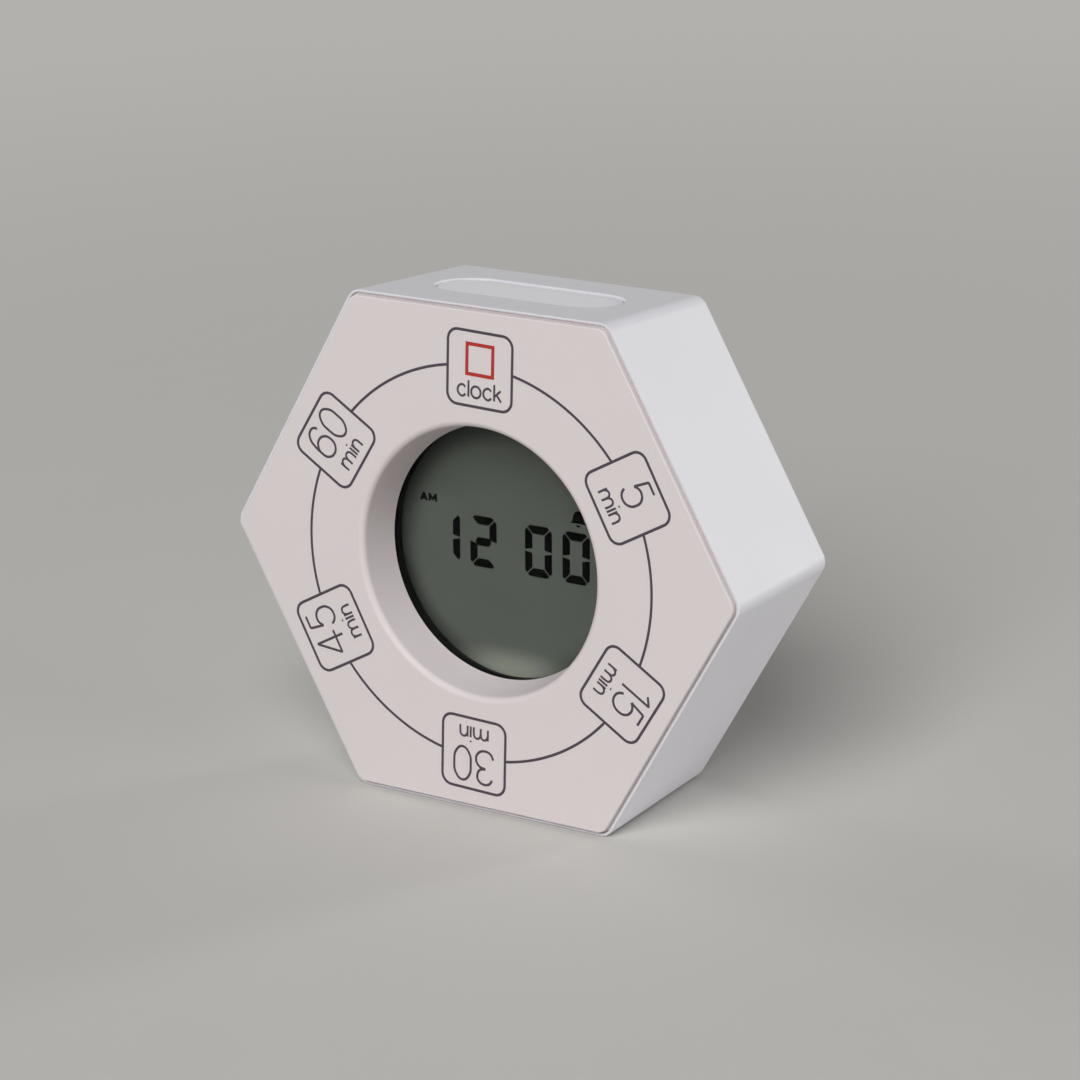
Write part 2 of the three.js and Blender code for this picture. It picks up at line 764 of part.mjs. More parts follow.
const cellProfile = [
  [0, 0],
  [cellDiameter / 2 - cellChamfer, 0],
  [cellDiameter / 2, cellChamfer],
  [cellDiameter / 2, cellLength - nubLength - cellChamfer],
  [cellDiameter / 2 - cellChamfer, cellLength - nubLength],
  [nubRadius, cellLength - nubLength],
  [nubRadius, cellLength],
  [0, cellLength],
];
for (const [name, z, side] of [['cell_upper', upperCell, -1], ['cell_lower', lowerCell, 1]]) {
  const cell = turned(cellProfile, roundSides).rotateZ((-side * Math.PI) / 2);
  addPiece(name, cell.translate(side * (nubTip - cellLength), cellAxis, z), 'cellJacket');
}

function contactPlate(side, low, high) {
  const [near, far] = [side * contactInside, side * (contactInside + contactThickness)];
  return block(
    [Math.min(near, far), cellAxis - contactHeight / 2, low - contactWidth / 2],
    [Math.max(near, far), cellAxis + contactHeight / 2, high + contactWidth / 2],
  );
}

function contactTail(z) {
  return block(
    [-bayOuterX - tailReach, cellAxis - tailWidth / 2, z - contactThickness / 2],
    [-contactInside - contactThickness / 2, cellAxis + tailWidth / 2, z + contactThickness / 2],
  );
}

for (const [name, z] of [['contact_positive', upperCell], ['contact_negative', lowerCell]]) {
  addPiece(name, shaped(contactPlate(-1, z, z), [contactTail(z)], []), 'steel');
}
addPiece('contact_bridge', contactPlate(1, lowerCell, upperCell), 'steel');

for (const [name, z, side] of [['spring_negative', lowerCell, -1], ['spring_bridge', upperCell, 1]]) {
  const coil = spring(
    name,
    batterySpringBaseRadius,
    batterySpringTipRadius,
    batterySpringLength,
    batterySpringTurns,
    batterySpringWireRadius,
  );
  coil.rotateY((-side * Math.PI) / 2);
  addPiece(name, coil.translate(side * (contactInside - seatGap), cellAxis, z), 'steel');
}

// Battery door: it swings out about its lower outer edge

function batteryDoor() {
  const panel = block(
    [-bayOuterX + seatGap, doorInside, bayBottom + seatGap],
    [bayOuterX - seatGap, bodyDepth, bayTop - seatGap],
  );
  const legBottom = bayBottom + bayWall + seatGap;
  const lipBack = backInside - seatGap;
  const joined = [];
  for (const x of tabs) {
    const half = tabWidth / 2;
    joined.push(block(
      [x - half, lipBack - tabThickness, legBottom],
      [x + half, doorInside + seatGap, legBottom + tabLegThickness],
    ));
    joined.push(block(
      [x - half, lipBack - tabThickness, bayBottom - tabReach],
      [x + half, lipBack, legBottom + tabLegThickness / 2],
    ));
  }
  const tongueTop = bayTop - bayWall - 2 * seatGap;
  joined.push(block(
    [-tongueWidth / 2, doorInside - tongueLength, tongueTop - tongueThickness],
    [tongueWidth / 2, doorInside + seatGap, tongueTop],
  ));
  return shaped(panel, joined, []);
}

addPiece('battery_door', batteryDoor(), 'whiteCase');

// Keys, their switches and the switches' plungers

const keyFlangeBack = backInside - seatGap;
const plungerTip = partsSeat + switchHeight + plungerProudHeight;
const keyProfile = [
  [0, plungerTip + seatGap],
  [keyStemRadius, plungerTip + seatGap],
  [keyStemRadius, keyFlangeBack - flangeThickness],
  [keyRadius + seatGap + flangeOverlap, keyFlangeBack - flangeThickness],
  [keyRadius + seatGap + flangeOverlap, keyFlangeBack],
  [keyRadius, keyFlangeBack],
  [keyRadius, bodyDepth + keyProudHeight - keyChamfer],
  [keyRadius - keyChamfer, bodyDepth + keyProudHeight],
  [0, bodyDepth + keyProudHeight],
];
for (const [name, x] of keys) {
  addPiece(`button_${name}`, turned(keyProfile, roundSides).translate(x, 0, keyRise), 'greyPlastic');
  const half = switchSize / 2;
  const base = block(
    [x - half, partsSeat, keyRise - half],
    [x + half, partsSeat + switchHeight, keyRise + half],
  );
  const plungerEnd = plungerTip - plungerLength;
  const hollow = rod(x, keyRise, plungerRadius + seatGap, plungerEnd - pressTravel - seatGap, plungerTip);
  addPiece(`key_switch_${name}`, shaped(base, [], [hollow]), 'blackPlastic');
  addPiece(`key_plunger_${name}`, rod(x, keyRise, plungerRadius, plungerEnd, plungerTip), 'greyPlastic');
}

// Press bar, its return springs and its switch

function pressBar() {
  const layer = (shape, low, high) => new THREE.ExtrudeGeometry(shape, {
    depth: high - low,
    bevelEnabled: false,
    curveSegments: 2 * cornerSteps,
  }).translate(0, 0, low);
  const rooted = flangeBottom + flangeThickness / 2;
  const post = (x, y, radius, low) => new THREE.CylinderGeometry(radius, radius, rooted - low, smallSides)
    .rotateX(Math.PI / 2)
    .translate(x, y, (rooted + low) / 2);
  const cap = layer(pill(barLength, barWidth), rooted, -barSunkDepth);
  const flangeOutline = pill(barLength + 2 * barFlangeWidth, barWidth + 2 * barFlangeWidth);
  const flange = layer(flangeOutline, flangeBottom, flangeTop);
  const joined = [flange, post(barStemOffset, barStemSide, barStemRadius, barStemEnd)];
  for (const x of [-barSpringSpread, barSpringSpread]) {
    joined.push(post(x, 0, barPostRadius, flangeBottom - barPostLength));
  }
  return shaped(cap, joined, []);
}

addPiece('snooze_bar', pressBar(), 'whiteCase', barFrame);

const barSprings = [['snooze_spring_left', -barSpringSpread], ['snooze_spring_right', barSpringSpread]];
for (const [name, x] of barSprings) {
  const coil = spring(
    name,
    barSpringRadius,
    barSpringRadius,
    barSpringLength,
    barSpringTurns,
    barSpringWireRadius,
  );
  addPiece(name, coil.translate(x, 0, flangeBottom - seatGap - barSpringLength), 'steel', barFrame);
}

const barSwitch = block(
  [barStemOffset - switchSize / 2, partsSeat, boardTop - barSwitchHeight],
  [barStemOffset + switchSize / 2, partsSeat + switchHeight, boardTop],
);
const upright = (radius, low, high) => new THREE.CylinderGeometry(radius, radius, high - low, smallSides)
  .rotateX(Math.PI / 2)
  .translate(barStemOffset, barSwitchAxis, (low + high) / 2);
const barPlungerEnd = barPlungerTop - barPlungerLength;
const barHollowEnd = barPlungerEnd - pressTravel - seatGap;
const barHollow = upright(barPlungerRadius + seatGap, barHollowEnd, barPlungerTop);
addPiece('snooze_switch', shaped(barSwitch, [], [barHollow]), 'blackPlastic');
addPiece('snooze_plunger', upright(barPlungerRadius, barPlungerEnd, barPlungerTop), 'greyPlastic');

// Sound slider: the knob's lever stands in the slot of a switch on the board

const soundSwitchBack = partsSeat + switchHeight;
const leverEnd = soundSwitchBack - leverDepth;
const soundSlotLeft = sliderOffset - leverLength / 2 - seatGap;
const soundSlotRight = sliderOffset + sliderTravel + leverLength / 2 + seatGap;
const soundSlotTop = sliderRise + leverHeight / 2 + seatGap;
const soundSlotBottom = sliderRise - leverHeight / 2 - seatGap;
const soundSwitchBase = block(
  [soundSlotLeft - soundSwitchWall, partsSeat, soundSlotBottom - soundSwitchWall],
  [soundSlotRight + soundSwitchWall, soundSwitchBack, soundSlotTop + soundSwitchWall],
);
const soundSlot = block(
  [soundSlotLeft, leverEnd - seatGap, soundSlotBottom],
  [soundSlotRight, soundSwitchBack + overshoot, soundSlotTop],
);
addPiece('sound_switch', shaped(soundSwitchBase, [], [soundSlot]), 'blackPlastic');

function soundSlider() {
  const coverHalfX = knobLength / 2 + sliderTravel + seatGap + sliderCoverMargin;
  const coverHalfZ = knobHeight / 2 + seatGap + sliderCoverMargin;
  const cover = block(
    [sliderOffset - coverHalfX, keyFlangeBack - flangeThickness, sliderRise - coverHalfZ],
    [sliderOffset + coverHalfX, keyFlangeBack, sliderRise + coverHalfZ],
  );
  const knob = block(
    [sliderOffset - knobLength / 2, keyFlangeBack - flangeThickness / 2, sliderRise - knobHeight / 2],
    [sliderOffset + knobLength / 2, bodyDepth + knobProudHeight, sliderRise + knobHeight / 2],
  );
  const lever = block(
    [sliderOffset - leverLength / 2, leverEnd, sliderRise - leverHeight / 2],
    [sliderOffset + leverLength / 2, keyFlangeBack - flangeThickness / 2, sliderRise + leverHeight / 2],
  );
  return shaped(cover, [knob, lever], []);
}

addPiece('sound_slider', soundSlider(), 'greyPlastic');

// Screws, heads to the back, with a cross slot

function screw(x, z, seat, head, headHeight, shaft, length) {
  const profile = [
    [0, seat - length],
    [shaft / 2, seat - length],
    [shaft, seat - length + shaft],
    [shaft, seat],
    [head, seat],
    [head, seat + headHeight],
    [0, seat + headHeight],
  ];
  const [half, top] = [slotWidth / 2, seat + headHeight];
  const reach = head * slotShare;
  const cross = [[reach, half], [half, reach]].map(([halfX, halfZ]) => block(
    [-halfX, top - slotDepth, -halfZ],
    [halfX, top + overshoot, halfZ],
  ));
  return shaped(turned(profile, smallSides), [], cross).translate(x, 0, z);
}

boardPosts.forEach(([x, z], i) => {
  const geometry = screw(
    x,
    z,
    partsSeat,
    boardScrewHeadRadius,
    boardScrewHeadHeight,
    boardScrewShaftRadius,
    boardScrewLength,
  );
  addPiece(`board_screw_${i + 1}`, geometry, 'steel');
});

screwCorners.forEach(([x, z], i) => {
  const geometry = screw(
    x,
    z,
    rearScrewSeat,
    rearScrewHeadRadius,
    rearScrewHeadHeight,
    rearScrewShaftRadius,
    rearScrewLength,
  );
  addPiece(`case_screw_${i + 1}`, geometry, 'steel');
});

// Leads from the contacts and the buzzer to the board

function lead(points) {
  const path = new THREE.CatmullRomCurve3(points.map((point) => new THREE.Vector3(...point)));
  return new THREE.ExtrudeGeometry(polygon(leadSides, leadRadius), {
    steps: leadSteps,
    extrudePath: path,
    bevelEnabled: false,
  });
}

const tailEnd = -bayOuterX - tailReach - seatGap;
const batteryLeads = [
  ['wire_positive', upperCell, upperLeadHeight, 'redLead'],
  ['wire_negative', lowerCell, lowerLeadHeight, 'blackLead'],
];
for (const [name, z, height, finish] of batteryLeads) {
  addPiece(name, lead([
    [tailEnd, cellAxis, z],
    [tailEnd - leadStubLength, cellAxis, z],
    [tailEnd - leadBowWidth, cellAxis - leadBowWidth, z + height / 2],
    [tailEnd - leadStubLength, (cellAxis + partsSeat) / 2, z + height],
    [tailEnd - leadStubLength, partsSeat + leadStubLength, z + height],
    [tailEnd - leadStubLength, partsSeat, z + height],
  ]), finish);
}

const leadLanding = buzzerRise + buzzerLeadHeight;
const buzzerLeads = [
  ['wire_buzzer_left', -elementRadius / 2, buzzerElementFront - seatGap, 'redLead'],
  ['wire_buzzer_right', (elementRadius + plateRadius) / 2, buzzerPlateFront - seatGap, 'blackLead'],
];
for (const [name, x, start, finish] of buzzerLeads) {
  const bowed = x + Math.sign(x) * buzzerLeadBow;
  const middle = (start + partsSeat) / 2;
  addPiece(name, lead([
    [x, start, buzzerRise],
    [x, start - leadStubLength, buzzerRise],
    [bowed, middle, (buzzerRise + leadLanding) / 2],
    [x, partsSeat + leadStubLength, leadLanding],
    [x, partsSeat, leadLanding],
  ]), finish);
}

export default timer;
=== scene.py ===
import math

import bmesh
import bpy
from mathutils import Matrix, Vector


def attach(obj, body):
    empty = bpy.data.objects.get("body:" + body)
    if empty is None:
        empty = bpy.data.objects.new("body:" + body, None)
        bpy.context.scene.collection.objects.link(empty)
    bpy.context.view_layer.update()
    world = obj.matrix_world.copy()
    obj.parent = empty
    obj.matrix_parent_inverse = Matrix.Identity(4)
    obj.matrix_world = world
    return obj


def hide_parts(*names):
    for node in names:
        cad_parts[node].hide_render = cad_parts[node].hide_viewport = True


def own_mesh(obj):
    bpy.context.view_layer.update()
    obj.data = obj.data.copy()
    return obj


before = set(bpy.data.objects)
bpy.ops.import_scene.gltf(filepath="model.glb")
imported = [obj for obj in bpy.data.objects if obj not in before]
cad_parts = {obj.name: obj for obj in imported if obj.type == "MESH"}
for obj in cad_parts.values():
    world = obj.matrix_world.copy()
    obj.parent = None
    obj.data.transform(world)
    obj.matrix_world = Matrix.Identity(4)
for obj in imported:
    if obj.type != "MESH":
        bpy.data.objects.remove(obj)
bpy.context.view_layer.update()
print("frame loaded:", len(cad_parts), "nodes")

# Everything is drawn in millimetres in the timer's own frame: x right, y into the case, z up
# from the axis of the hexagon. "stand" leans it back on its drafted base and makes it metres.
timer = dict(half=43.0, depth=30.7, draft=2.44, backInside=28.7, front=-0.8)
lean = math.radians(timer["draft"])
baseShift = (
    0,
    timer["half"] * math.sin(lean) - timer["depth"] / math.cos(lean) / 2,
    timer["half"] * math.cos(lean),
)
stand = Matrix.Scale(0.001, 4) @ Matrix.Translation(baseShift) @ Matrix.Rotation(-lean, 4, "X")

# The press bar lies square to the drafted top face
barMiddle = (0, timer["depth"] / 2, timer["half"] - timer["depth"] / 2 * math.tan(lean))
barFrame = Matrix.Translation(barMiddle) @ Matrix.Rotation(-lean, 4, "X")

upright = Matrix.Rotation(math.radians(90), 4, "X")  # a flat drawing stood up to face the viewer
backward = Matrix.Rotation(math.radians(180), 4, "Z") @ upright  # the same, to be read from behind

# Places that several pieces share
shared = dict(upperCell=3.6, lowerCell=-7.6, cellDepth=23.65, cellTip=25.15, buzzerRise=-28.23,
              keyRise=20.45, keyStep=15, tabs=(-14, 14), barPosts=(-11, 11), boss=(20.57, 35.63))
bossX, bossZ = shared["boss"]
bossSpots = [(x, z) for x in (-bossX, bossX) for z in (-bossZ, bossZ)]
tiny = 1e-4  # points this near to each other, or to a plane, count as touching
sharpTurn = math.radians(40)  # a bend past this is an edge to round


def linked(name, data):
    made = bpy.data.objects.new(name, data)
    bpy.context.scene.collection.objects.link(made)
    return made


def looseObject(name, bm):
    mesh = bpy.data.meshes.new(name)
    bm.to_mesh(mesh)
    bm.free()
    return linked(name, mesh)


# The mesh of an object with its modifiers or curve worked out
def finalShape(thing):
    bpy.context.view_layer.update()
    made = thing.evaluated_get(bpy.context.evaluated_depsgraph_get())
    bm = bmesh.new()
    bm.from_mesh(made.to_mesh())
    made.to_mesh_clear()
    return bm


# One boolean at a time, with the mesh cleaned after each
def combined(base, kind, shape):
    body, tool = looseObject("blank", base), looseObject("tool", shape)
    step = body.modifiers.new(kind, "BOOLEAN")
    step.operation = kind
    step.solver = "EXACT"
    step.object = tool
    result = finalShape(body)
    for old in (body, tool):
        mesh = old.data
        bpy.data.objects.remove(old)
        bpy.data.meshes.remove(mesh)
    bmesh.ops.remove_doubles(result, verts=result.verts, dist=tiny)
    bmesh.ops.dissolve_degenerate(result, edges=result.edges, dist=tiny)
    return result


def carve(base, joined=(), cut=()):
    for shape in joined:
        base = combined(base, "UNION", shape)
    for shape in cut:
        base = combined(base, "DIFFERENCE", shape)
    return base


def moved(bm, matrix):
    bmesh.ops.transform(bm, matrix=matrix, verts=bm.verts)
    return bm


def shifted(bm, x=0.0, y=0.0, z=0.0):
    bmesh.ops.translate(bm, vec=(x, y, z), verts=bm.verts)
    return bm


def faceOut(bm):
    bmesh.ops.recalc_face_normals(bm, faces=bm.faces)
    return bm


# Puts a finished shape in its place, with its finish, its body and the node that it replaces
def settle(bm, name, finish, body="case", covers=(), seat=stand, angle=35):
    piece = looseObject(name, faceOut(moved(bm, seat)))
    for each in finish if isinstance(finish, (list, tuple)) else [finish]:
        piece.data.materials.append(each)
    piece.data.shade_smooth()
    piece.data.set_sharp_from_angle(angle=math.radians(angle))
    even = piece.modifiers.new("evenShading", "WEIGHTED_NORMAL")
    even.keep_sharp = True
    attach(piece, body)
    if covers:
        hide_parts(*covers)
    return piece


def merged(*shapes):
    whole = bmesh.new()
    for shape in shapes:
        part = bpy.data.meshes.new("part")
        shape.to_mesh(part)
        shape.free()
        whole.from_mesh(part)
        bpy.data.meshes.remove(part)
    return whole


def rounded(bm, geom, offset, segments, affect="EDGES"):
    bmesh.ops.bevel(bm, geom=geom, offset=offset, segments=segments, profile=0.5,
                    affect=affect, material=-1)


# Pulls every face along a vector and gives back the points that moved
def pulled(bm, along):
    made = bmesh.ops.extrude_face_region(bm, geom=bm.faces[:])["geom"]
    ends = [g for g in made if isinstance(g, bmesh.types.BMVert)]
    bmesh.ops.translate(bm, vec=along, verts=ends)
    return ends


def depthEdges(bm):
    return [e for e in bm.edges if abs(e.verts[0].co.y - e.verts[1].co.y) > tiny]


def block(low, high, soft=0.0, segments=2):
    bm = bmesh.new()
    size = [b - a for a, b in zip(low, high)]
    middle = [(a + b) / 2 for a, b in zip(low, high)]
    bmesh.ops.create_cube(bm, size=1.0)
    bmesh.ops.scale(bm, vec=size, verts=bm.verts)
    shifted(bm, *middle)
    if soft:
        rounded(bm, bm.edges[:], soft, segments)
    return bm


# A block centred on the axis of the hexagon
def slab(x, z, front, back, soft=0.0):
    return block((-x, front, -z), (x, back, z), soft)


# A block of a given half width about x; low and high are depth and height
def strip(x, half, low, high, soft=0.0):
    return block((x - half, *low), (x + half, *high), soft)


# A box whose four edges along the depth are rounded
def pocket(low, high, radius):
    bm = block(low, high)
    rounded(bm, depthEdges(bm), radius, segments=4)
    return bm


# Turned about the depth axis; corners lists the profile points to round, with their radii
def turned(profile, steps, corners=None, x=0.0, z=0.0):
    bm = bmesh.new()
    verts = [bm.verts.new((radius, depth, 0)) for radius, depth in profile]
    for a, b in zip(verts, verts[1:]):
        bm.edges.new((a, b))
    for index, radius in (corners or {}).items():
        rounded(bm, [verts[index]], radius, segments=4, affect="VERTICES")
    bmesh.ops.spin(bm, geom=bm.verts[:] + bm.edges[:], cent=(0, 0, 0), axis=(0, 1, 0),
                   angle=2 * math.pi, steps=steps, use_merge=True)
    bmesh.ops.remove_doubles(bm, verts=bm.verts, dist=tiny)
    return shifted(faceOut(bm), x=x, z=z)


def rod(x, z, radius, front, back, steps=48, corners=None):
    profile = [(0, front), (radius, front), (radius, back), (0, back)]
    return turned(profile, steps, corners, x=x, z=z)


# A hexagonal prism with flats above and below, drawn in with depth by its draft
def hexPrism(half, corner, front, back, draft=0.0):
    bm = bmesh.new()
    turn = upright @ Matrix.Rotation(math.radians(30), 4, "Z")
    bmesh.ops.create_circle(bm, cap_ends=True, segments=6, radius=half / math.cos(math.pi / 6),
                            matrix=turn)
    for v in bm.verts:
        v.co.y = front
    far = pulled(bm, (0, back - front, 0))
    drawn = 1 - (back - front) * math.tan(math.radians(draft)) / half
    bmesh.ops.scale(bm, vec=(drawn, 1, drawn), verts=far)
    faceOut(bm)
    rounded(bm, depthEdges(bm), corner * math.tan(math.pi / 6), segments=8)
    return bm


# Rounds the sharp edges whose two ends both pass a test
def easeEdges(bm, test, offset, segments):
    bm.normal_update()
    edges = []
    for e in bm.edges:
        sharp = len(e.link_faces) == 2 and e.calc_face_angle() > sharpTurn
        if sharp and all(test(v.co) for v in e.verts):
            edges.append(e)
    rounded(bm, edges, offset, segments)
    return len(edges)


# A flat pill, built from a circle whose halves are drawn apart, then given its height
def pill(length, width, low, high, steps=64):
    bm = bmesh.new()
    bmesh.ops.create_circle(bm, cap_ends=True, segments=steps, radius=width / 2,
                            matrix=Matrix.Rotation(math.pi / steps, 4, "Z"))
    for v in bm.verts:
        v.co.x += math.copysign((length - width) / 2, v.co.x)
    shifted(bm, z=low)
    pulled(bm, (0, 0, high - low))
    return faceOut(bm)


# Lines to draw, as their points, whether they close and whether they curve
def straight(*points):
    return points, False, False


def framed(*points):
    return points, True, False


def curved(*points):
    return points, False, True


# A curved loop in a box, whose slanting points stand in from the corners
def oval(wide, high, inX, inZ):
    x, z = wide / 2, high / 2
    points = [(x, 0), (wide - inX, inZ), (wide, z), (wide - inX, high - inZ), (x, high),
              (inX, high - inZ), (0, z), (inX, inZ)]
    return points, True, True


# Points of a straight-sided line, with a small bend in place of each corner
def easeCorners(points, closed, reach=0.22, steps=4):
    points = [Vector(p) for p in points]
    if closed:
        start = (points[0] + points[-1]) / 2
        points = [start, *points, start]
    eased = [points[0]]
    for a, b, c in zip(points, points[1:], points[2:]):
        begin = b + (a - b).normalized() * reach
        end = b + (c - b).normalized() * reach
        for k in range(steps + 1):
            share = k / steps
            eased.append(begin.lerp(b, share).lerp(b.lerp(end, share), share))
    return eased if closed else [*eased, points[-1]]


# A wire or a drawn line: a round tube along a curve, as a mesh
def tubeShape(name, lines, radius, sides=2, steps=6):
    curve = bpy.data.curves.new(name, "CURVE")
    curve.dimensions = "3D"
    curve.bevel_depth = radius
    curve.bevel_resolution = sides
    curve.use_fill_caps = True
    for points, closed, soft in lines:
        if not soft:
            points = easeCorners(points, closed)
        line = curve.splines.new("BEZIER")
        line.bezier_points.add(len(points) - 1)
        for knot, point in zip(line.bezier_points, points):
            knot.co = point
            knot.handle_left_type = knot.handle_right_type = "AUTO" if soft else "VECTOR"
        line.use_cyclic_u = closed
        line.resolution_u = steps if soft else 1
    holder = linked(name, curve)
    bm = finalShape(holder)
    bpy.data.objects.remove(holder)
    bpy.data.curves.remove(curve)
    bmesh.ops.remove_doubles(bm, verts=bm.verts, dist=tiny / 10)
    return bm


# Presses drawn lines flat, to an ink of a given thickness
def flattened(bm, share):
    bmesh.ops.scale(bm, vec=(1, 1, share), verts=bm.verts)
    return bm


# Adds a node and fills its inputs: a socket is joined, anything else is set
def addNode(tree, kind, inputs=None, **settings):
    node = tree.nodes.new("ShaderNode" + kind)
    for label, value in settings.items():
        setattr(node, label, value)
    for label, value in (inputs or {}).items():
        if isinstance(value, bpy.types.NodeSocket):
            tree.links.new(value, node.inputs[label])
        else:
            node.inputs[label].default_value = value
    return node


def addMath(tree, operation, *values):
    return addNode(tree, "Math", dict(enumerate(values)), operation=operation).outputs[0]


def addVector(tree, operation, *values):
    node = addNode(tree, "VectorMath", dict(enumerate(values)), operation=operation)
    return node.outputs["Value" if operation == "LENGTH" else "Vector"]


def addScaled(tree, colour, share):
    node = addNode(tree, "VectorMath", {0: colour, "Scale": share}, operation="SCALE")
    return node.outputs["Vector"]


def addRange(tree, value, low, high, first, last, **settings):
    levels = {"Value": value, "From Min": low, "From Max": high, "To Min": first, "To Max": last}
    return addNode(tree, "MapRange", levels, **settings).outputs["Result"]


def addNoise(tree, place, scale, detail):
    inputs = {"Vector": place, "Scale": scale, "Detail": detail}
    return addNode(tree, "TexNoise", inputs).outputs["Fac"]


def objectPlace(tree):
    return addNode(tree, "TexCoord").outputs["Object"]


effectInputs = [("Tint", "NodeSocketColor"), ("Drift", "NodeSocketFloat"),
                ("Gloss Low", "NodeSocketFloat"), ("Gloss High", "NodeSocketFloat")]
effectOutputs = [("Color", "NodeSocketColor"), ("Roughness", "NodeSocketFloat"),
                 ("Height", "NodeSocketFloat")]


def newEffect(name, *extra):
    group = bpy.data.node_groups.new(name, "ShaderNodeTree")
    for label, kind in [*effectInputs, extra]:
        group.interface.new_socket(name=label, in_out="INPUT", socket_type=kind)
    for label, kind in effectOutputs:
        group.interface.new_socket(name=label, in_out="OUTPUT", socket_type=kind)
    return group, group.nodes.new("NodeGroupInput").outputs


# What an effect puts out: its tint times a shade, a gloss between two levels, and a height
def closeEffect(group, given, shade, glossy, span, height):
    tint = addScaled(group, given["Tint"], shade)
    rough = addRange(group, glossy, *span, given["Gloss Low"], given["Gloss High"])
    made = group.nodes.new("NodeGroupOutput").inputs
    for label, socket in (("Color", tint), ("Roughness", rough), ("Height", height)):
        group.links.new(socket, made[label])
    return group


mould = dict(fineDetail=3.0, slowScale=45.0, slowDetail=4.0, span=(0.6, 1.4), grainDepth=0.00004)
streaks = dict(scale=1.0, detail=5.0, span=(0.3, 0.7), drift=0.2, bump=0.1, depth=0.00003)


# Moulded plastic: a fine spark-eroded grain, with a slow drift in shade and gloss
def makeMouldGrain():
    v = mould
    group, given = newEffect("mouldGrain", "Grain", "NodeSocketFloat")
    place = objectPlace(group)
    fine = addNoise(group, place, given["Grain"], v["fineDetail"])
    slow = addNoise(group, place, v["slowScale"], v["slowDetail"])
    shade = addMath(group, "MULTIPLY_ADD", slow, given["Drift"], 1.0)
    centred = addMath(group, "MULTIPLY_ADD", given["Drift"], -0.5, shade)  # 1 on average
    both = addMath(group, "ADD", fine, slow)
    return closeEffect(group, given, centred, both, v["span"], fine)


# Drawn or rolled metal: streaks along one direction
def makeMetalStreaks():
    v = streaks
    group, given = newEffect("metalStreaks", "Stretch", "NodeSocketVector")
    pull = addVector(group, "MULTIPLY", objectPlace(group), given["Stretch"])
    streak = addNoise(group, pull, v["scale"], v["detail"])
    least = addMath(group, "SUBTRACT", 1.0, given["Drift"])
    shade = addRange(group, streak, *v["span"], least, 1.0)
    return closeEffect(group, given, shade, streak, v["span"], streak)


mouldGrain = makeMouldGrain()
metalStreaks = makeMetalStreaks()


def fromHex(code):
    parts = [int(code[i:i + 2], 16) / 255 for i in (0, 2, 4)]
    return [c / 12.92 if c <= 0.04045 else ((c + 0.055) / 1.055) ** 2.4 for c in parts] + [1.0]


def newFinish(name, group, values, bump, bumpDepth, sockets=None):
    finish = bpy.data.materials.new(name)
    finish.use_nodes = True
    tree = finish.node_tree
    shader = tree.nodes["Principled BSDF"]
    for label, value in (sockets or {}).items():
        shader.inputs[label].default_value = value
    effect = addNode(tree, "Group", values, node_tree=group).outputs
    tree.links.new(effect["Color"], shader.inputs["Base Color"])
    tree.links.new(effect["Roughness"], shader.inputs["Roughness"])
    if bump:
        relief = addNode(tree, "Bump", {"Strength": bump, "Distance": bumpDepth,
                                        "Height": effect["Height"]})
        tree.links.new(relief.outputs["Normal"], shader.inputs["Normal"])
    return finish


def plastic(name, tint, low, high, drift=0.04, grain=5200.0, bump=0.25, sockets=None):
    values = {"Tint": fromHex(tint), "Drift": drift, "Gloss Low": low, "Gloss High": high,
              "Grain": grain}
    return newFinish(name, mouldGrain, values, bump, mould["grainDepth"], sockets)


def metal(name, tint, low, high, stretch=(400, 4000, 4000)):
    values = {"Tint": fromHex(tint), "Drift": streaks["drift"], "Gloss Low": low,
              "Gloss High": high, "Stretch": stretch}
    return newFinish(name, metalStreaks, values, streaks["bump"], streaks["depth"],
                     {"Metallic": 1.0})


# A value that eases from its first level to its last with distance from a point
def easedAway(tree, middle, stretch, near, far, first, last):
    offset = addVector(tree, "SUBTRACT", objectPlace(tree), middle)
    away = addVector(tree, "LENGTH", addVector(tree, "MULTIPLY", offset, stretch))
    return addRange(tree, away, near, far, first, last, interpolation_type="SMOOTHSTEP")


whiteCase = plastic("whiteCase", "dddce1", 0.54, 0.66)
whitePanel = plastic("whitePanel", "dfd6d7", 0.50, 0.62, drift=0.03)
whiteBar = plastic("whiteBar", "eeeef2", 0.60, 0.70)
greyPlastic = plastic("greyPlastic", "8f8f95", 0.42, 0.56)
blackPlastic = plastic("blackPlastic", "101011", 0.45, 0.6, sockets={"Specular IOR Level": 0.3})
milkyGuide = plastic("milkyGuide", "e6e8e4", 0.25, 0.35, bump=0.1)
greyRubber = plastic("greyRubber", "4b4b50", 0.7, 0.85, grain=3000.0)
ceramicWhite = plastic("ceramicWhite", "d6d3c8", 0.35, 0.5, drift=0.08)
jacketDark = plastic("jacketDark", "2f5d66", 0.22, 0.32, drift=0.06, bump=0.03)
jacketBand = plastic("jacketBand", "c3c6c9", 0.22, 0.32, drift=0.06, bump=0.03)
leadRed = plastic("leadRed", "a81f1f", 0.38, 0.5, bump=0.1)
leadBlack = plastic("leadBlack", "161616", 0.38, 0.5, bump=0.1)
inkDark = plastic("inkDark", "483f49", 0.5, 0.65, drift=0.1)
inkRed = plastic("inkRed", "b32a22", 0.5, 0.65, drift=0.1)
inkGrey = plastic("inkGrey", "77777d", 0.5, 0.65, drift=0.1)
displayFilm = plastic("displayFilm", "6f736e", 0.3, 0.4, drift=0.06, grain=9000.0, bump=0.0,
                      sockets={"Specular IOR Level": 0.2})
displayInk = plastic("displayInk", "040505", 0.4, 0.5, drift=0.1, bump=0.05,
                     sockets={"Specular IOR Level": 0.0})
boardGreen = plastic("boardGreen", "1f5a3a", 0.35, 0.5, drift=0.3, grain=2500.0)
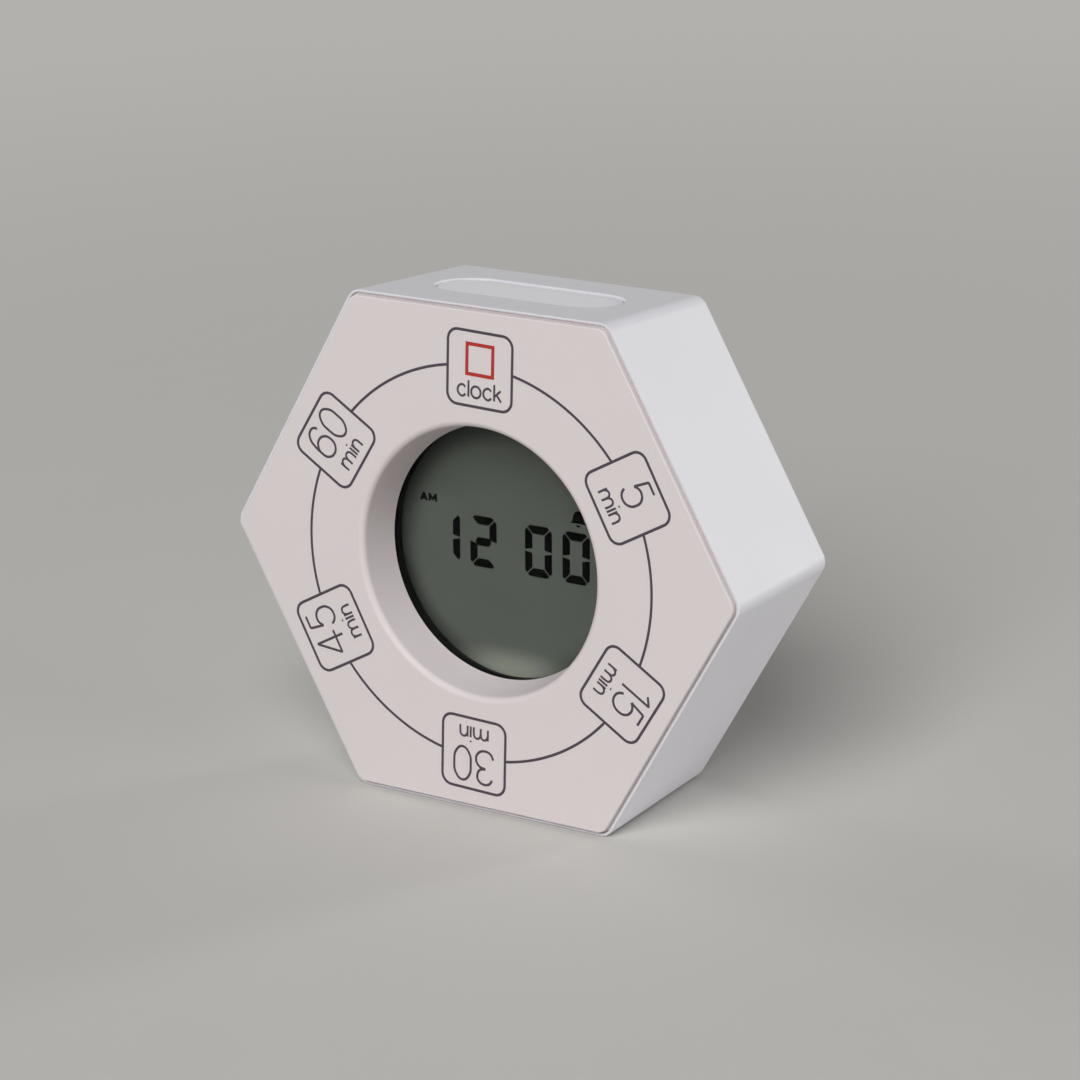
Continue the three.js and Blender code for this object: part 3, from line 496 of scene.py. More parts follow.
lensClear = plastic("lensClear", "f4f7f4", 0.01, 0.03, drift=0.01, bump=0.0,
                    sockets={"IOR": 1.49, "Transmission Weight": 1.0,
                             "Specular Tint": (0.05, 0.05, 0.05, 1.0)})
steelBright = metal("steelBright", "b4b6ba", 0.2, 0.36)
steelWire = metal("steelWire", "c0c2c6", 0.16, 0.3, stretch=(900, 900, 900))
brassPlate = metal("brassPlate", "b9975a", 0.25, 0.4)
print("finishes:", len(bpy.data.materials))

# CAD pieces that keep their shape, by finish
keptNodes = [
    (blackPlastic, ["chip_cap", "sensor_cup", "snooze_switch", "sound_switch",
                    "key_switch_set", "key_switch_up", "key_switch_down"]),
    (greyPlastic, ["sensor_lid", "snooze_plunger",
                   "key_plunger_set", "key_plunger_up", "key_plunger_down"]),
    (milkyGuide, ["backlight_guide"]),
    (greyRubber, ["strip_upper", "strip_lower"]),
    (ceramicWhite, ["backlight_led", "buzzer_element"]),
    (boardGreen, ["main_board"]),
    (brassPlate, ["buzzer_plate"]),
    (steelBright, ["crystal_can", "sensor_ball",
                   "contact_positive", "contact_negative", "contact_bridge",
                   "board_screw_1", "board_screw_2", "board_screw_3", "board_screw_4"]),
]
for finish, names in keptNodes:
    for name in names:
        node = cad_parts[name]
        node.data.materials.clear()
        node.data.materials.append(finish)

# The case: a drafted cup with a rebate for the panel, and all that its back carries
shell = dict(
    corner=2.6, edge=0.55, rim=0.5, rimEdge=0.2, rebate=1.7, ledge=1.55, drawIn=0.9735,
    rooted=29.7, past=2.0,  # how far pieces run into the back, and cuts past it
    bay=(27.25, -14.45, 10.45), bayWall=1.1, bayFront=17.0, bayFloor=18.1, bayCorner=0.8,
    doorSeat=28.9, scoop=(9.45, 5.0, 29.7), scoopEdge=0.7, tabRoom=(4.3, 26.4, 29.2),
    tabReach=(-0.01, 2.0), tail=(1.3, 0.5), tailReach=(-2, 3),
    boss=3.9, bossFront=17.3, bossFloor=19.3, headBore=2.8, shaftBore=(1.5, 16, 25),
    keyBore=4.3, slot=((16.7, -24.35), (25.3, -20.75)), slotCorner=0.4,
    buzzer=(10.4, 25.9), buzzerBore=(9.3, 5.0, 27.7), buzzerLedge=1.1,
    hole=0.8, holeCircle=4.5, holeFront=27.0, holeEdge=0.18,
    shelf=((-17.0, 8.0, 29.96), (17.0, 29.7, 31.46)),
    barOpening=(34.6, 13.1, -5, 3), barReach=18, barEdge=0.3,
)


def makeCup():
    v = shell
    back = timer["depth"]
    bm = hexPrism(timer["half"], v["corner"], 0, back, timer["draft"])
    easeEdges(bm, lambda p: p.y > back - tiny, v["edge"], segments=4)
    front = max(bm.faces, key=lambda f: f.calc_area() if f.calc_center_median().y < tiny else 0)
    bmesh.ops.inset_region(bm, faces=[front], thickness=v["rim"], use_even_offset=True)
    steps = ((v["rebate"], v["ledge"], 1), (timer["backInside"], 0, v["drawIn"]))
    for inward, ledge, drawn in steps:
        deeper = bmesh.ops.extrude_face_region(bm, geom=[front])["geom"]
        bmesh.ops.delete(bm, geom=[front], context="FACES_ONLY")
        corners = [g for g in deeper if isinstance(g, bmesh.types.BMVert)]
        front = next(g for g in deeper if isinstance(g, bmesh.types.BMFace))
        for corner in corners:
            corner.co.y = inward
        bmesh.ops.scale(bm, vec=(drawn, 1, drawn), verts=corners)
        if ledge:
            bmesh.ops.inset_region(bm, faces=[front], thickness=ledge, use_even_offset=True)
    faceOut(bm)
    easeEdges(bm, lambda p: p.y < tiny, v["rimEdge"], segments=2)
    return bm


# Sound holes, the slot of the slider, and bores for the keys and the screw heads
def makeBackHoles(out):
    v = shell
    rise, front = shared["buzzerRise"], v["holeFront"]
    holes = [rod(0, rise, v["hole"], front, out, 24)]
    for k in range(6):
        turn = k * math.pi / 3
        x, z = v["holeCircle"] * math.cos(turn), v["holeCircle"] * math.sin(turn)
        holes.append(rod(x, rise + z, v["hole"], front, out, 24))
    (slotLeft, slotLow), (slotRight, slotHigh) = v["slot"]
    holes.append(pocket((slotLeft, front, slotLow), (slotRight, out, slotHigh), v["slotCorner"]))
    for k in (-1, 0, 1):
        holes.append(rod(k * shared["keyStep"], shared["keyRise"], v["keyBore"], front, out))
    holes += [rod(x, z, v["headBore"], v["bossFloor"], out) for x, z in bossSpots]
    return merged(*holes)


def makeShell():
    v = shell
    x, low, high = v["bay"]
    wall, out = v["bayWall"], timer["depth"] + v["past"]
    rise = shared["buzzerRise"]
    ring, ringFront = v["buzzer"]
    bore, boreFront, boreEnd = v["buzzerBore"]
    joined = [
        block((-x, v["bayFront"], low), (x, v["rooted"], high)),
        rod(0, rise, ring, ringFront, v["rooted"]),
        block(*v["shelf"]),
        merged(*[rod(bx, bz, v["boss"], v["bossFront"], v["rooted"]) for bx, bz in bossSpots]),
    ]
    tailDeep, tailHigh = v["tail"]
    tailOut, tailIn = v["tailReach"]
    axis = shared["cellDepth"]
    tails = [block((tailOut - x, axis - tailDeep, z - tailHigh),
                   (tailIn - x, axis + tailDeep, z + tailHigh))
             for z in (shared["upperCell"], shared["lowerCell"])]
    tabHalf, tabFront, tabBack = v["tabRoom"]
    tabLow, tabHigh = v["tabReach"]
    tabs = [strip(t, tabHalf, (tabFront, low + tabLow), (tabBack, low + wall + tabHigh))
            for t in shared["tabs"]]
    scoopRise, scoop, scoopFloor = v["scoop"]
    opening = moved(pill(*v["barOpening"]), barFrame)
    cut = [
        pocket((wall - x, v["bayFloor"], low + wall), (x - wall, out, high - wall), v["bayCorner"]),
        pocket((-x, v["doorSeat"], low), (x, out, high), v["bayCorner"]),
        rod(0, scoopRise, scoop, scoopFloor, out, 64, {1: v["scoopEdge"]}),
        rod(0, rise, bore, boreFront, boreEnd),
        rod(0, rise, bore - v["buzzerLedge"], boreFront, timer["backInside"]),
        makeBackHoles(out),
        merged(*[rod(bx, bz, *v["shaftBore"]) for bx, bz in bossSpots]),
        merged(*tails),
        merged(*tabs),
        opening,
    ]
    bm = carve(makeCup(), joined, cut)
    level = barFrame.inverted()
    near = 10 * tiny
    rims = easeEdges(bm, lambda p: abs(p.y - timer["depth"]) < near, v["holeEdge"], segments=2)
    rims += easeEdges(bm, lambda p: abs((level @ p).z) < near and abs(p.x) < v["barReach"],
                      v["barEdge"], segments=3)
    print("case shell: rim edges eased", rims)
    return bm


settle(makeShell(), "caseShell", whiteCase, covers=["body_shell"])

# The front panel. Its lip is a width, a depth and the angle where the wall of the well begins.
panel = dict(
    half=42.2, corner=2.1, back=1.4, edge=0.28, shoulder=(42.46, 2.3, 0.45), rooted=0.6, past=3.0,
    mouth=23.95, lip=(1.15, 1.2, 81), lipSteps=9, floor=(21.8, 6.8), seat=(23.8, 12.0),
    funnel=(25.4, 8.9), boardPosts=(30.15, 12.0, 2.6, 14.7), rearPosts=(3.0, 17.0),
)


def makePanel():
    v = panel
    start = timer["front"]
    bm = hexPrism(v["half"], v["corner"], start, v["back"])
    easeEdges(bm, lambda p: p.y < start + tiny, v["edge"], segments=5)
    shoulder = hexPrism(*v["shoulder"], v["back"])
    postX, postZ, postRadius, postEnd = v["boardPosts"]
    rearRadius, rearEnd = v["rearPosts"]
    posts = [rod(sx * postX, sz * postZ, postRadius, v["rooted"], postEnd, 24)
             for sx in (-1, 1) for sz in (-1, 1)]
    posts += [rod(x, z, rearRadius, v["rooted"], rearEnd, 24) for x, z in bossSpots]
    mouth, (lipWidth, lipDepth, lipTurn) = v["mouth"], v["lip"]
    profile = [(0, start - v["past"]), (mouth, start - v["past"]), (mouth, start)]
    for k in range(1, v["lipSteps"] + 1):
        turn = math.radians(lipTurn * k / v["lipSteps"])
        profile.append((mouth - lipWidth * math.sin(turn), start + lipDepth * (1 - math.cos(turn))))
    (floorRadius, floorDepth), (seat, seatEnd) = v["floor"], v["seat"]
    profile += [(floorRadius, floorDepth), (seat, floorDepth), (seat, seatEnd), (0, seatEnd)]
    funnelRadius, funnelEnd = v["funnel"]
    funnel = rod(0, 0, funnelRadius, v["rooted"], funnelEnd, 128)
    return carve(bm, [shoulder, funnel, merged(*posts)], [turned(profile, 128)])


settle(makePanel(), "facePanel", whitePanel, covers=["front_panel"])
print("case and panel made")

# The display: window, holder and glass. The film carries painted shade toward its rim and a painted
# highlight along its lower edge; each is a middle on the glass, a stretch, near and far distances
# in metres, and the levels there.
display = dict(
    lens=(23.5, 7.1, 8.6), lensEdges={1: 0.15, 2: 0.15}, past=2.0, room=(23.8, 24.4),
    holder=(25.4, 26.0, 9.2, 14.7), holderEdge=0.3, opening=22.1, lip=0.7,
    glass=(23.5, 24.1, 10.2, 11.3), backGlass=(23.5, 21.5, 11.25, 12.4), glassEdge=0.1,
    # painted shade: the film's colour darkens toward its rim
    shade=((0, -1.2), (1, 1, 1), 0.0178, 0.0224, 1.0, 0.42),
    # painted highlight: a lighter band in the film's colour along its lower edge
    paintedHighlight=((0.3, -26.0), (0.45, 1, 1), 0.0030, 0.0098, 1.0, 0.0), paintedHighlightTint="adaca1",
)
glassFront = display["glass"][2]
onGlass = Matrix.Translation((0, glassFront, 0)) @ upright


def makeHolder():
    v = display
    x, z, front, back = v["holder"]
    room = slab(*v["room"], front + v["lip"], back + v["past"])
    opening = rod(0, 0, v["opening"], front - v["past"], back, 96)
    return carve(slab(x, z, front, back, v["holderEdge"]), [], [room, opening])


def makeGlass():
    v = display
    return carve(slab(*v["glass"], v["glassEdge"]), [slab(*v["backGlass"], v["glassEdge"])])


# Painted shade darkens the film's colour toward its rim, standing in for the holder's shadow, and a
# painted highlight lightens its lower edge, standing in for light from the pale well
def paintFilmShadeAndHighlight():
    v = display
    tree = displayFilm.node_tree
    film = tree.nodes["Principled BSDF"].inputs["Base Color"]
    plain, paintedHighlight = film.links[0].from_socket, fromHex(v["paintedHighlightTint"])[:3]
    parts = []
    for colour, ((x, z), *levels) in ((plain, v["shade"]), (paintedHighlight, v["paintedHighlight"])):
        share = easedAway(tree, stand @ Vector((x, glassFront, z)), *levels)
        parts.append(addScaled(tree, colour, share))
    tree.links.new(addVector(tree, "ADD", *parts), film)


lens = rod(0, 0, *display["lens"], 128, display["lensEdges"])
settle(lens, "lensDisc", lensClear, covers=["lens_window"])
settle(makeHolder(), "displayHolder", blackPlastic, covers=["lcd_frame"])
# paints shade and a highlight into the film's colour
paintFilmShadeAndHighlight()
settle(makeGlass(), "displayGlass", displayFilm, covers=["lcd_glass"])

figures = dict(width=5.3, height=8.8, bar=1.45, gap=0.13, trim=0.8, notch=0.3, point=0.7,
               rise=0.3, spots=(-12.97, -5.62, 5.3, 12.67), time="1200", thick=0.03)
barsOf = {"0": "abcdef", "1": "bc", "2": "abged"}


def makeFigures():
    v = figures
    w, h, t, g, c = v["width"] / 2, v["height"] / 2, v["bar"], v["gap"], v["trim"]
    top = [(-w + c + g, h), (w - c - g, h), (w - c / 2 - g, h - c / 2), (w - t - g, h - t),
           (-w + t + g, h - t), (-w + c / 2 + g, h - c / 2)]
    side = [(w, h - c - g), (w, g), (w - t, g + v["notch"]), (w - t, h - t - g),
            (w - c / 2, h - c / 2 - g)]
    point = w - v["point"] * t
    middle = [(-point, 0), (-w + t + g, t / 2), (w - t - g, t / 2), (point, 0),
              (w - t - g, -t / 2), (-w + t + g, -t / 2)]
    shapes = {"a": (top, 1, 1), "d": (top, 1, -1), "g": (middle, 1, 1), "b": (side, 1, 1),
              "c": (side, 1, -1), "f": (side, -1, 1), "e": (side, -1, -1)}
    bm = bmesh.new()
    for spot, figure in zip(v["spots"], v["time"]):
        for bar in barsOf[figure]:
            outline, flipX, flipZ = shapes[bar]
            bm.faces.new([bm.verts.new((spot + a * flipX, v["rise"] + b * flipZ, 0))
                          for a, b in outline])
    faceOut(bm)
    pulled(bm, (0, 0, v["thick"]))
    return moved(bm, onGlass)


settle(makeFigures(), "displayFigures", displayInk)

# Small marks on the glass: the half of the day, and a bell for the alarm
marks = dict(
    day=(-18.2, 5.8), line=0.21, flat=0.2, bell=(13.1, 5.95), bellSize=1.2, sunk=0.02, thick=0.05,
    dayLines=[[(0, 0), (0.6, 1.35), (1.2, 0)], [(0.28, 0.42), (0.92, 0.42)],
              [(1.75, 0), (1.75, 1.35), (2.4, 0.3), (3.05, 1.35), (3.05, 0)]],
    bellShapes=[[(-1.3, 0.25), (-0.95, 0.6), (-0.85, 1.3), (-0.55, 1.85), (-0.15, 2.05),
                 (0.15, 2.05), (0.55, 1.85), (0.85, 1.3), (0.95, 0.6), (1.3, 0.25)],
                [(-0.4, 0.05), (0.4, 0.05), (0.2, -0.25), (-0.2, -0.25)]],
)


def makeMarks():
    v = marks
    x, z = v["day"]
    lines = [straight(*[(x + a, z + b, 0) for a, b in points]) for points in v["dayLines"]]
    strokes = flattened(tubeShape("dayMark", lines, v["line"]), v["flat"])
    (x, z), size = v["bell"], v["bellSize"]
    bell = bmesh.new()
    for outline in v["bellShapes"]:
        bell.faces.new([bell.verts.new((x + size * a, z + size * b, -v["sunk"]))
                        for a, b in outline])
    pulled(bell, (0, 0, v["thick"]))
    return moved(merged(strokes, bell), onGlass)


settle(makeMarks(), "displayMarks", displayInk)
print("display made")

# Print on the face: a ring, six frames, numbers and words
printed = dict(
    middle=-0.25, turn=1.65, ringRadius=33.5, ringLine=0.46, labelRadius=32.9, frameHalf=6.47,
    frameCorner=2.1, frameLine=0.47, numberLine=0.225, wordLine=0.2, numberRise=-0.95,
    wordRise=-4.75, digitGap=1.05, minGap=0.62, clockGap=0.55, squareRise=1.6, squareHalf=2.8,
    squareLine=0.6, ink=0.03, sunk=0.05,
)
labels = ["", "5", "15", "30", "45", "60"]
facing = Matrix.Translation((0, timer["front"], printed["middle"])) @ upright

# The width of each sign and its pen strokes
signs = {
    "0": (3.3, [oval(3.3, 5.9, 0.3, 1.05)]),
    "1": (1.5, [straight((0, 4.85), (1.35, 5.9), (1.35, 0))]),
    "3": (3.4, [curved((0.15, 4.85), (0.7, 5.6), (1.7, 5.9), (2.85, 5.4), (3.1, 4.5), (2.6, 3.45),
                       (1.5, 3.15)),
                curved((1.5, 3.15), (2.8, 2.8), (3.4, 1.7), (2.9, 0.5), (1.7, 0), (0.5, 0.35),
                       (0, 1.25))]),
    "4": (4.0, [straight((2.85, 0), (2.85, 5.9), (0, 1.6), (4.0, 1.6))]),
    "5": (3.3, [straight((2.9, 5.9), (0.75, 5.9), (0.35, 3.05)),
                curved((0.35, 3.05), (0.95, 3.6), (1.75, 3.8), (2.9, 3.25), (3.3, 1.95),
                       (2.8, 0.55), (1.65, 0), (0.6, 0.3), (0, 1.1))]),
    "6": (3.3, [oval(3.3, 3.7, 0.4, 0.6),
                curved((0, 1.85), (0.08, 3.6), (0.6, 5.2), (1.75, 5.9), (2.7, 5.55), (3.0, 4.95))]),
    "m": (2.8, [straight((0, 0), (0, 1.9)),
                curved((0, 1.1), (0.3, 1.7), (0.75, 1.9), (1.25, 1.65), (1.4, 1.0), (1.4, 0)),
                curved((1.4, 1.0), (1.7, 1.7), (2.15, 1.9), (2.65, 1.65), (2.8, 1.0), (2.8, 0))]),
    "i": (0.0, [straight((0, 0), (0, 1.9)), straight((0, 2.5), (0, 2.75))]),
    "n": (1.45, [straight((0, 0), (0, 1.9)),
                 curved((0, 1.1), (0.3, 1.7), (0.75, 1.9), (1.3, 1.65), (1.45, 1.0), (1.45, 0))]),
    "c": (1.55, [curved((1.5, 1.55), (0.95, 1.9), (0.25, 1.6), (0, 0.95), (0.25, 0.3), (0.95, 0),
                        (1.55, 0.4))]),
    "l": (0.0, [straight((0, 0), (0, 2.75))]),
    "o": (1.8, [oval(1.8, 1.9, 0.25, 0.28)]),
    "k": (1.35, [straight((0, 0), (0, 2.75)), straight((1.25, 1.9), (0, 0.75)),
                 straight((0.45, 1.15), (1.35, 0))]),
    "S": (1.5, [curved((1.45, 1.75), (0.8, 2.1), (0.15, 1.65), (0.75, 1.1), (1.45, 0.55),
                       (0.75, 0), (0, 0.4))]),
    "E": (1.3, [straight((1.3, 2.1), (0, 2.1), (0, 0), (1.3, 0)), straight((0, 1.1), (1.1, 1.1))]),
    "T": (1.5, [straight((0, 2.1), (1.5, 2.1)), straight((0.75, 2.1), (0.75, 0))]),
    "O": (1.8, [oval(1.8, 2.1, 0.25, 0.3)]),
    "N": (1.5, [straight((0, 0), (0, 2.1), (1.5, 0), (1.5, 2.1))]),
    "F": (1.3, [straight((1.3, 2.1), (0, 2.1), (0, 0)), straight((0, 1.1), (1.1, 1.1))]),
}


# Strokes of a word, centred on its seat
def written(word, gap, seat):
    x = -(sum(signs[s][0] for s in word) + gap * (len(word) - 1)) / 2
    lines = []
    for sign in word:
        wide, strokes = signs[sign]
        for points, closed, soft in strokes:
            lines.append(([seat @ Vector((x + a, b, 0)) for a, b in points], closed, soft))
        x += wide + gap
    return lines


# The place of a label on the ring, counted clockwise from the top
def labelSeat(index, rise=0.0):
    clockwise = math.radians(60 * index + printed["turn"])
    out = printed["labelRadius"] + rise
    return Matrix.Rotation(-clockwise, 4, "Z") @ Matrix.Translation((0, out, 0))


# A flat square outline with rounded corners
def squareLine(half, line, corner, seat):
    bm = bmesh.new()
    bmesh.ops.create_grid(bm, x_segments=1, y_segments=1, size=half)
    if corner:
        rounded(bm, bm.verts[:], corner, segments=8, affect="VERTICES")
    inner = bm.faces[:]
    bmesh.ops.inset_region(bm, faces=inner, thickness=line, use_even_offset=True, use_boundary=True)
    bmesh.ops.delete(bm, geom=inner, context="FACES")
    return moved(bm, seat)


# Gives flat ink its thickness: sunk a little into the face, and a little proud of it
def inked(bm):
    shifted(bm, z=-printed["sunk"])
    pulled(bm, (0, 0, printed["sunk"] + printed["ink"]))
    return moved(bm, facing)


def makeRing():
    v = printed
    shapes = [squareLine(v["frameHalf"], v["frameLine"], v["frameCorner"], labelSeat(k))
              for k in range(6)]
    hidden = math.asin(v["frameHalf"] / v["ringRadius"])  # half the arc behind a frame
    for k in range(6):
        arc = bmesh.new()
        ends = [arc.verts.new((0, v["ringRadius"] + side * v["ringLine"] / 2, 0))
                for side in (-1, 1)]
        edge = arc.edges.new(ends)
        begin = math.radians(60 * k + v["turn"]) + hidden
        moved(arc, Matrix.Rotation(-begin, 4, "Z"))
        bmesh.ops.spin(arc, geom=[*ends, edge], cent=(0, 0, 0), axis=(0, 0, -1),
                       angle=math.pi / 3 - 2 * hidden, steps=24)
        shapes.append(arc)
    return inked(merged(*shapes))


def makeWords():
    v = printed
    numbers, words = [], []
    for index, number in enumerate(labels):
        word, gap = ("min", v["minGap"]) if number else ("clock", v["clockGap"])
        words += written(word, gap, labelSeat(index, v["wordRise"]))
        if number:
            numbers += written(number, v["digitGap"], labelSeat(index, v["numberRise"]))
    return ("faceNumbers", numbers, v["numberLine"]), ("faceWords", words, v["wordLine"])


settle(makeRing(), "faceRing", inkDark)
for name, lines, radius in makeWords():
    strokes = flattened(tubeShape(name, lines, radius), printed["ink"] / radius)
    settle(moved(strokes, facing), name, inkDark)
square = squareLine(printed["squareHalf"], printed["squareLine"], 0,
                    labelSeat(0, printed["squareRise"]))
settle(inked(square), "faceSquare", inkRed)
print("face print made")

# The press bar in the top face: a cap on a flange, with a stem and two spring posts
bar = dict(length=34.4, width=12.9, top=-0.35, capRoot=0.4, flangeTop=-2.3, flangeBottom=-3.3,
           flange=1.0, edge=0.45, stem=(7.5, -1.36, 1.6, -12.9), post=(1.4, -7.3), pegRoot=0.5)


def makeBar():
    v = bar
    cap = pill(v["length"], v["width"], v["flangeTop"] - v["capRoot"], v["top"])
    easeEdges(cap, lambda p: p.z > v["top"] - tiny, v["edge"], segments=4)
    wider = 2 * v["flange"]
    shapes = [pill(v["length"] + wider, v["width"] + wider, v["flangeBottom"], v["flangeTop"])]
    for x, y, radius, end in [v["stem"]] + [(x, 0, *v["post"]) for x in shared["barPosts"]]:
        peg = bmesh.new()
        height = v["flangeBottom"] + v["pegRoot"] - end
        bmesh.ops.create_cone(peg, cap_ends=True, segments=24, radius1=radius, radius2=radius,
                              depth=height, matrix=Matrix.Translation((x, y, end + height / 2)))
        shapes.append(peg)
    return carve(cap, shapes)


settle(makeBar(), "pressBar", whiteBar, body="press_bar",
       covers=["snooze_bar"], seat=stand @ barFrame)


# A coil that stands on its base, from one radius to another
def makeCoil(base, tip, length, turns, wire, perTurn=16):
    count = turns * perTurn
    points = []
    for k in range(count + 1):
        share = k / count
        radius = base + (tip - base) * share
        turn = 2 * math.pi * turns * share
        points.append((radius * math.cos(turn), radius * math.sin(turn),
                       (length - 2 * wire) * share))
    return shifted(tubeShape("coil", [curved(*points)], wire, steps=3), z=wire)


barSpring = dict(coil=(2.4, 2.4, 7.0, 5, 0.25), low=-10.6, sides=("Left", "Right"))


def makeBarSprings():
    v = barSpring
    seat = stand @ barFrame
    for side, x in zip(v["sides"], shared["barPosts"]):
        coil = shifted(makeCoil(*v["coil"]), x=x, z=v["low"])
        piece = settle(coil, "barSpring" + side, steelWire,
                       covers=["snooze_spring_" + side.lower()], seat=seat)
        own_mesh(piece)


makeBarSprings()

cellSpring = dict(coil=(3.6, 2.4, 5.2, 4, 0.3), spots=(("Negative", shared["lowerCell"], -1),
                                                       ("Bridge", shared["upperCell"], 1)))
for name, z, side in cellSpring["spots"]:
    coil = moved(makeCoil(*cellSpring["coil"]), Matrix.Rotation(-side * math.pi / 2, 4, "Y"))
    shifted(coil, side * shared["cellTip"], shared["cellDepth"], z)
    settle(coil, "cellSpring" + name, steelWire, covers=["spring_" + name.lower()])

# Leads from the battery contacts and from the buzzer to the board
leads = dict(
    radius=0.5, stub=1.2, bow=2.0, tail=-29.95, seat=16.9, middle=20.275, landRise=4, bowRise=2,
    cells=(("positive", leadRed, "lead_red", shared["upperCell"], 3),
           ("negative", leadBlack, "lead_black", shared["lowerCell"], 5)),
    buzzer=(("buzzer_left", leadRed, "lead_red", -3.25, 26.1, -3.75),
            ("buzzer_right", leadBlack, "lead_black", 7.75, 26.7, 8.25)),
)


def leadRoutes():
    v = leads
    axis, tail, far = shared["cellDepth"], v["tail"], v["tail"] - v["stub"]
    for name, finish, slot, z, rise in v["cells"]:
        yield name, finish, slot, [
            (tail, axis, z), (far, axis, z), (tail - v["bow"], axis - v["bow"], z + rise / 2),
            (far, v["middle"], z + rise), (far, v["seat"] + v["stub"], z + rise),
            (far, v["seat"], z + rise)]
    low = shared["buzzerRise"]
    land = low + v["landRise"]
    for name, finish, slot, x, start, bowed in v["buzzer"]:
        yield name, finish, slot, [
            (x, start, low), (x, start - v["stub"], low),
            (bowed, (start + v["seat"]) / 2, low + v["bowRise"]),
            (x, v["seat"] + v["stub"], land), (x, v["seat"], land)]


for name, finish, slot, points in leadRoutes():
    lead = tubeShape("lead", [curved(*points)], leads["radius"], sides=3, steps=8)
    settle(lead, "lead." + name, finish, covers=["wire_" + name])
print("press bar, springs and leads made")

# Two cells, each turned from its flat base to its nub
cell = dict(radius=5.25, length=44.5, band=11.0, base=(3.9, 4.2, 0.25), crown=(4.3, 4.1, 0.3),
            nub=(1.9, 0.8), nubFoot=(0.5, 0.1), edge=0.5, nubEdge=0.3, metalReach=4.2,
            spots=(("Upper", shared["upperCell"], -1), ("Lower", shared["lowerCell"], 1)))


def makeCell(side, z):
    v = cell
    radius, length = v["radius"], v["length"]
    nub, nubHeight = v["nub"]
    footSpread, footDrop = v["nubFoot"]
    end = length - nubHeight
    baseFlat, baseRim, baseStep = v["base"]
    crownRim, crownFlat, crownDrop = v["crown"]
    profile = [(0, 0), (baseFlat, 0), (baseRim, baseStep), (radius, baseStep),
               (radius, end - v["band"]), (radius, end), (crownRim, end),
               (crownFlat, end - crownDrop), (nub + footSpread, end - crownDrop),
               (nub, end - footDrop), (nub, length), (0, length)]
    bm = turned(profile, 64, {3: v["edge"], 5: v["edge"], 10: v["nubEdge"]})
    for face in bm.faces:
        middle = face.calc_center_median()
        if math.hypot(middle.x, middle.z) < v["metalReach"]:
            face.material_index = 2
        elif middle.y > end - v["band"]:
            face.material_index = 1
    moved(bm, Matrix.Rotation(-side * math.pi / 2, 4, "Z"))
    return shifted(bm, side * (shared["cellTip"] - length), shared["cellDepth"], z)


for name, z, side in cell["spots"]:
    settle(makeCell(side, z), "cell" + name, [jacketDark, jacketBand, steelBright],
           covers=["cell_" + name.lower()])

# A plus sign printed on the pale end of each cell
cellSign = dict(arm=1.2, line=0.2, sunk=0.16, fromTip=6.5, steps=8)


def makeCellSigns():
    v = cellSign
    arm, radius, depth = v["arm"], cell["radius"] - v["sunk"], shared["cellDepth"]
    bend = [arm / radius * (2 * k / v["steps"] - 1) for k in range(v["steps"] + 1)]
    lines = []
    for name, z, side in cell["spots"]:
        x, back = side * (shared["cellTip"] - v["fromTip"]), depth + radius
        lines.append(straight((x - arm, back, z), (x + arm, back, z)))
        lines.append(curved(*[(x, depth + radius * math.cos(a), z + radius * math.sin(a))
                              for a in bend]))
    return tubeShape("cellSigns", lines, v["line"])


settle(makeCellSigns(), "cellSigns", inkDark)

# The battery door swings on two hooked tabs; tab, hook and tongue are given by depth and height
door = dict(
    low=(-26.95, 29.2, -14.15), high=(26.95, 30.7, 10.15), corner=0.6, edge=0.25,
    groove=(7.0, 0.5, 0.35), grooves=(-1.2, 0.4, 2.0, 3.6), grooveEdge=0.12, past=1.0,
    tabHalf=4.0, tab=((27.2, -13.05), (29.5, -12.05), 0.1),
    hook=((27.2, -16.0), (28.4, -12.55), 0.15),
    tongueHalf=5.0, tongue=((27.4, 7.75), (29.5, 8.75), 0.15),
)


def makeDoor():
    v = door
    bm = pocket(v["low"], v["high"], v["corner"])
    back = v["high"][1]
    easeEdges(bm, lambda p: p.y > back - tiny, v["edge"], segments=3)
    half, thick, deep = v["groove"]
    cut = [strip(0, half, (back - deep, z - thick / 2), (back + v["past"], z + thick / 2))
           for z in v["grooves"]]
    bm = carve(bm, [], [merged(*cut)])
    easeEdges(bm, lambda p: abs(p.y - back) < 10 * tiny, v["grooveEdge"], segments=2)
    hooks = [strip(x, v["tabHalf"], *v[part]) for x in shared["tabs"] for part in ("tab", "hook")]
    return carve(bm, [*hooks, strip(0, v["tongueHalf"], *v["tongue"])])


settle(makeDoor(), "batteryDoor", whiteCase, body="battery_door",
       covers=["battery_door"])

# A raised plan inside the door shows which way round the cells go
plan = dict(line=0.3, half=19.0, tall=3.6, arm=1.2, signPlace=14.5, sunk=0.1)


def makePlan():
    v = plan
    half, tall, arm = v["half"], v["tall"], v["arm"]
    lines = []
    for name, z, side in cell["spots"]:
        lines.append(framed((-half, 0, z - tall), (half, 0, z - tall),
                            (half, 0, z + tall), (-half, 0, z + tall)))
        plus = side * v["signPlace"]
        lines.append(straight((plus, 0, z - arm), (plus, 0, z + arm)))
        for x in (plus, -plus):
            lines.append(straight((x - arm, 0, z), (x + arm, 0, z)))
    return shifted(tubeShape("plan", lines, v["line"]), y=door["low"][1] + v["sunk"])


settle(makePlan(), "doorPlan", whiteCase, body="battery_door")
print("cells and door made")

# Keys on the back, with a shallow dish in each cap
key = dict(radius=4.0, top=31.5, flange=(4.9, 27.4, 28.4), stem=(1.8, 21.7), edge=0.45,
           dish=(0.9, 1.6, 0.12), names=("set", "up", "down"))


